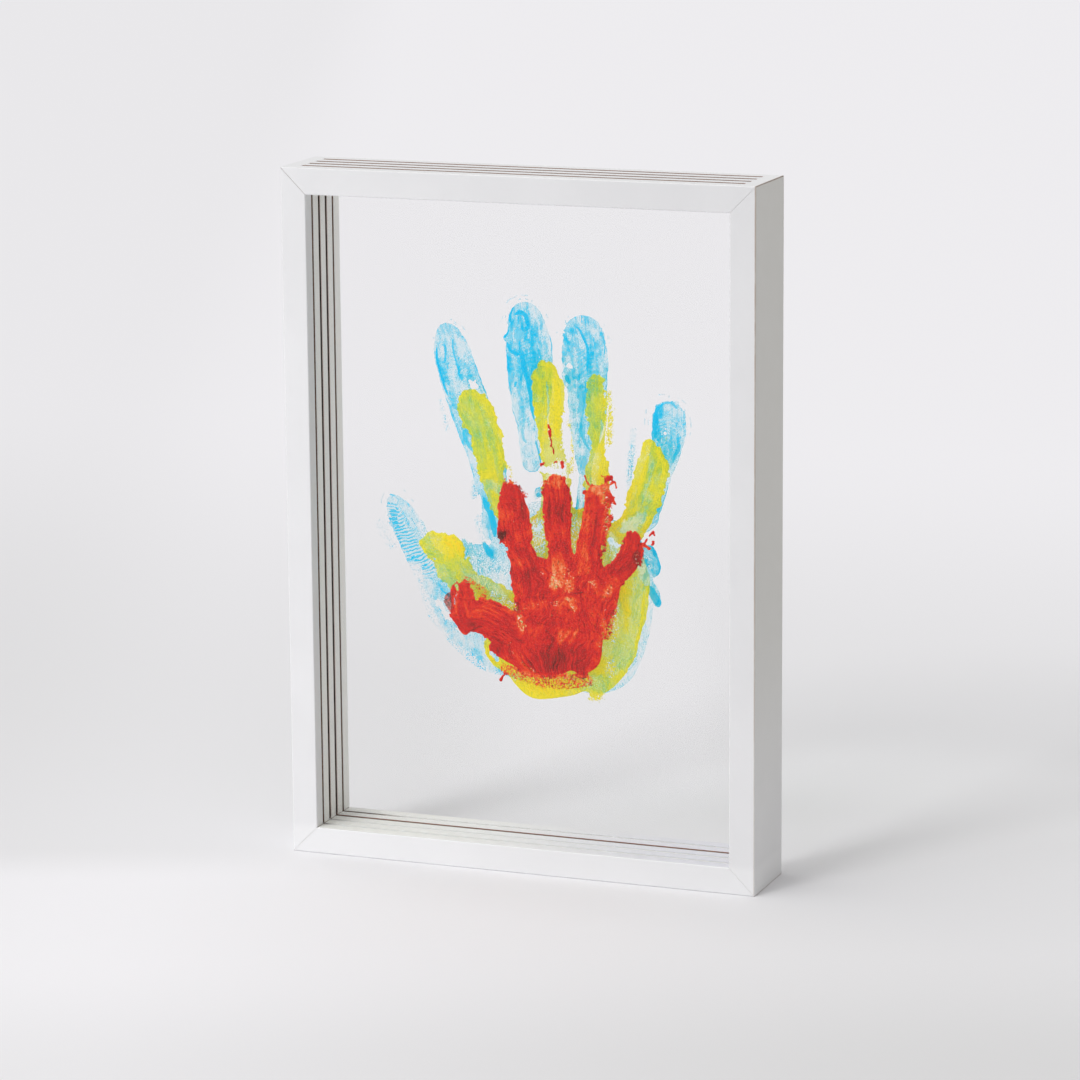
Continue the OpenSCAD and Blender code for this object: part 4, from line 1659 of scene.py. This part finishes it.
RED_PAINT = Paint(
    name="dried_red_hand_paint",
    tones=(
        (0.0, "#4E2822"),
        (0.2, "#9A2F2B"),
        (0.34, "#C82C2C"),
        (0.5, "#E0312D"),
        (0.66, "#EC4A2A"),
        (0.8, "#EF6A38"),
        (1.0, "#F69A66"),
    ),
    filters=((0.0, "#F6B9AC"), (0.5, "#D23A30"), (1.0, "#A81818")),
    cover=(0.05, 0.55, 0.5, 0.99),
    load_grain=0.5,
    load_streak=0.4,
    tone_grain=1.05,
    tone_streak=0.4,
    specks=("#5A2A1C", 0.61, 0.6),
    fleck_colours=((0.0, "#9FBF74"), (0.35, "#F2E7A6"), (0.6, "#F0A06A"), (1.0, "#FBEFE2")),
)
YELLOW_PAINT = Paint(
    name="dried_yellow_hand_paint",
    tones=(
        (0.0, "#DCE688"),
        (0.22, "#DDE156"),
        (0.48, "#F4E736"),
        (0.8, "#FCEA38"),
        (1.0, "#FFD92E"),
    ),
    filters=((0.0, "#FBFCDC"), (0.3, "#F6F9B2"), (0.6, "#F7EF5C"), (1.0, "#F5E31C")),
    cover=(0.2, 1.0, 0.22, 0.9),
    load_grain=1.25,
    load_streak=0.35,
    tone_grain=0.6,
    tone_streak=0.3,
    specks=("#A4BC3E", 0.55, 0.4),
    fleck_colours=((0.0, "#F6E05A"), (1.0, "#F6E05A")),
)
BLUE_PAINT = Paint(
    name="dried_blue_hand_paint",
    tones=(
        (0.0, "#E0F2F9"),
        (0.25, "#C4E6F4"),
        (0.5, "#86DAF8"),
        (0.72, "#2CD0FF"),
        (0.9, "#04C8FF"),
        (1.0, "#00C0FF"),
    ),
    filters=((0.0, "#F1FAFD"), (0.25, "#D6F6FF"), (0.5, "#9AEAFF"), (0.72, "#38DCFF"), (1.0, "#06D0FF")),
    cover=(0.0, 1.0, 0.08, 0.7),
    load_grain=1.0,
    load_streak=0.35,
    tone_grain=0.6,
    tone_streak=0.3,
    specks=("#7FC9EC", 0.66, 0.4),
    fleck_colours=((0.0, "#DFF2FA"), (1.0, "#DFF2FA")),
    pooled=True,
)


# ---- Sub-assemblies -------------------------------------------------------------------------


@dataclass
class Moulding:
    """The four rails: fibreboard cores wrapped in white foil, held by steel wedges."""

    rails: tuple[str, ...] = ("top_rail", "bottom_rail", "left_stile", "right_stile")
    corners: tuple[str, ...] = ("top_left", "top_right", "bottom_left", "bottom_right")

    def dress(self) -> None:
        """Gives each CAD node of the moulding its material."""
        board, foil, steel = Fibreboard().material(), WhiteFoil().material(), SpringSteel().material()
        for rail in self.rails:
            paint_node(f"{rail}_core", board)
            paint_node(f"{rail}_wrap", foil)
        for corner in self.corners:
            paint_node(f"{corner}_wedges", steel)


@dataclass
class ClearSheets:
    """The four acrylic sheets, from front to back."""

    sheets: tuple[str, ...] = ("front_sheet", "second_sheet", "third_sheet", "back_sheet")

    def dress(self) -> None:
        """Gives each sheet its material."""
        acrylic = CastAcrylic().material()
        for sheet in self.sheets:
            paint_node(sheet, acrylic)


def paint_node(name: str, material: bpy.types.Material) -> None:
    """Puts one material on all of a CAD node's slots.

    Args:
        name: the node.
        material: its new material.
    """
    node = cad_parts[name]
    if not node.material_slots:
        node.data.materials.append(material)
    for material_slot in node.material_slots:
        material_slot.material = material
    LOG.info("%s: %s", name, material.name)


@dataclass
class Studio:
    """A pale seamless floor, a soft window-like light from the front left, and the camera.

    Places and the floor's size are in metres, the lights' spreads in degrees, the camera's turn, rise
    and roll in radians, its lens and sensor in millimetres."""

    floor_half: float = 9.0
    floor_colour: str = "#F9F8FC"
    # The grey of the floor's painted shade.
    floor_shade_grey: str = "#DADADB"
    sky: float = 0.45
    sky_colour: str = "#FFFEFC"
    seen_backdrop: str = "#EDEDED"
    top_strength: float = 1.01
    top_spread: float = 40.0
    top_from: tuple[float, float, float] = (-0.22, -0.12, 1.0)
    key_strength: float = 0.76
    key_spread: float = 18.0
    key_from: tuple[float, float, float] = (-0.42, -0.91, 0.85)
    side_power: float = 1.3
    side_size: float = 0.3
    side_place: tuple[float, float, float] = (-0.60, -0.62, 0.12)
    camera_place: tuple[float, float, float] = (0.7500, -1.9384, 0.6057)
    camera_turn: float = 0.3674
    camera_rise: float = 0.2107
    camera_roll: float = -0.0081
    lens: float = 146.9
    sensor: float = 36.0

    def build(self) -> None:
        """Makes the floor, the lights and the camera."""
        self.lay_floor()
        self.light()
        self.aim_camera()

    def lay_floor(self) -> None:
        """Lays a wide sheet of matt paper under the object."""
        bpy.ops.object.select_all(action="DESELECT")
        bpy.ops.mesh.primitive_plane_add(size=2 * self.floor_half, location=(0, 0, 0))
        floor = bpy.context.active_object
        floor.name = "studio_floor"
        material, tree, (_, x, y, _) = new_material("matt_background_paper")
        # The paper's colour holds painted shade and light: greyer behind the object than in front of it or far
        # away, and to the right.
        turn = self.camera_turn
        across = x * math.cos(turn) + y * math.sin(turn)
        toward = x * math.sin(turn) - y * math.cos(turn)
        side = across.spread(-0.25, 0.2, 0.0, 0.5)
        front = side * 0.85 + toward.spread(0.15, 0.32, 0.16, 0.44)
        behind = (side * 0.25 + 0.52) * y.spread(0.12, 1.1, 1.0, 0.12)
        # Light through the sheets falls there, and the paper looks paler.
        lit = across.spread(-0.07, 0.02, 0.0, 0.27) * across.spread(0.08, 0.14, 1.0, 0.0)
        behind = behind - lit * y.spread(0.3, 0.9, 1.0, 0.0)
        shade = toward.spread(-0.035, 0.03) * (front - behind) + behind
        # Painted shade far to the left.
        shade = shade + across.spread(-0.34, -0.17, 0.17, 0.0)
        colour = shade.blend(self.floor_colour, self.floor_shade_grey)
        feeds = {"Base Color": colour, "Roughness": 1.0, "Specular IOR Level": 0.0}
        shader = add_node(tree, "ShaderNodeBsdfPrincipled", feeds)
        floor.data.materials.append(end_material(material, shader))

    def light(self) -> None:
        """Sets an even sky, a soft key from the front left, and a weak panel near the left side."""
        world = bpy.data.worlds.new("studio")
        bpy.context.scene.world = world
        world.use_nodes = True
        tree = world.node_tree
        tree.nodes.clear()
        seen = ray_is(tree, "Camera", "Transmission", "Glossy")
        sky = add_node(tree, "ShaderNodeBackground", {0: self.sky_colour, 1: self.sky})
        backdrop = add_node(tree, "ShaderNodeBackground", {0: self.seen_backdrop, 1: 1.0})
        add_node(tree, "ShaderNodeOutputWorld", {0: seen.blend(sky, backdrop)})
        self.hang_lamp("top_light", "SUN", self.top_strength, self.top_spread, self.top_from)
        self.hang_lamp("key_light", "SUN", self.key_strength, self.key_spread, self.key_from)
        self.hang_lamp("side_panel", "AREA", self.side_power, self.side_size, self.side_place)

    @staticmethod
    def hang_lamp(name: str, kind: str, strength: float, size: float, place: tuple) -> None:
        """Adds a soft light that shines at the frame's middle.

        Args:
            name: its name.
            kind: SUN for a distant one, AREA for a round panel.
            strength: its power, per square metre for a distant one.
            size: how wide it looks in degrees for a distant one, or its width in metres.
            place: where it is.
        """
        lamp = bpy.data.objects.new(name, bpy.data.lights.new(name, kind))
        lamp.data.energy = strength
        if kind == "SUN":
            lamp.data.angle = math.radians(size)
        else:
            lamp.data.shape, lamp.data.size = "DISK", size
        lamp.location = place
        middle = SIZES.height / 2 * MM
        aim = Vector(place) - Vector((0, 0, middle if kind == "AREA" else 0))
        lamp.rotation_euler = aim.to_track_quat("Z", "Y").to_euler()
        bpy.context.scene.collection.objects.link(lamp)

    def aim_camera(self) -> None:
        """Sets the camera where the picture was taken from."""
        turn, rise_angle, roll = self.camera_turn, self.camera_rise, self.camera_roll
        level = math.cos(rise_angle)
        back = Vector((math.sin(turn) * level, -math.cos(turn) * level, math.sin(rise_angle)))
        right = (-back).cross(Vector((0, 0, 1))).normalized()
        up = right.cross(-back)
        turned_right = math.cos(roll) * right + math.sin(roll) * up
        turned_up = -math.sin(roll) * right + math.cos(roll) * up
        camera = bpy.data.objects.new("camera", bpy.data.cameras.new("camera"))
        camera.data.lens, camera.data.sensor_width = self.lens, self.sensor
        axes = Matrix((turned_right, turned_up, back)).transposed()
        camera.matrix_world = Matrix.Translation(self.camera_place) @ axes.to_4x4()
        bpy.context.scene.collection.objects.link(camera)
        bpy.context.scene.camera = camera


def handprints() -> list[Handprint]:
    """The three prints, each on the front face of its sheet.

    Returns:
        The prints, from front to back.
    """
    return [
        Handprint(
            name="child_print", node="child_handprint", body="second_sheet", slot="red_paint",
            shape=CHILD_HAND, wetness=Wetness.THICK, finish=RED_PAINT,
            heel=(17.0, 96.0), length=100.0, sheet_face=-4.75, cell=0.37, seed=11,
        ),
        Handprint(
            name="mother_print", node="mother_handprint", body="third_sheet", slot="yellow_paint",
            shape=GROWN_SHORT_HAND, wetness=Wetness.CREAMY, finish=YELLOW_PAINT,
            heel=(10.0, 81.5), length=167.0, sheet_face=3.75, cell=0.55, seed=23,
        ),
        Handprint(
            name="father_print", node="father_handprint", body="back_sheet", slot="blue_paint",
            shape=GROWN_LONG_HAND, wetness=Wetness.WATERY, finish=BLUE_PAINT,
            heel=(5.0, 82.0), length=192.0, sheet_face=12.25, cell=0.6, seed=37,
        ),
    ]


def main() -> None:
    """Builds the studio and every sub-assembly."""
    logging.basicConfig(level=logging.INFO, format="%(message)s")
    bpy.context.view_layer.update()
    Studio().build()
    Moulding().dress()
    ClearSheets().dress()
    for hand in handprints():
        made = hand.build()
        LOG.info("%s: %d faces on %s", made.name, len(made.data.polygons), hand.body)
    scene = bpy.context.scene
    scene.view_settings.view_transform = "Standard"
    # Four sheets and three films stand behind one another, and a ray crosses two faces of each.
    scene.cycles.max_bounces = 24
    scene.cycles.transmission_bounces = 20
    scene.cycles.transparent_max_bounces = 40


if __name__ == "__main__":
    main()
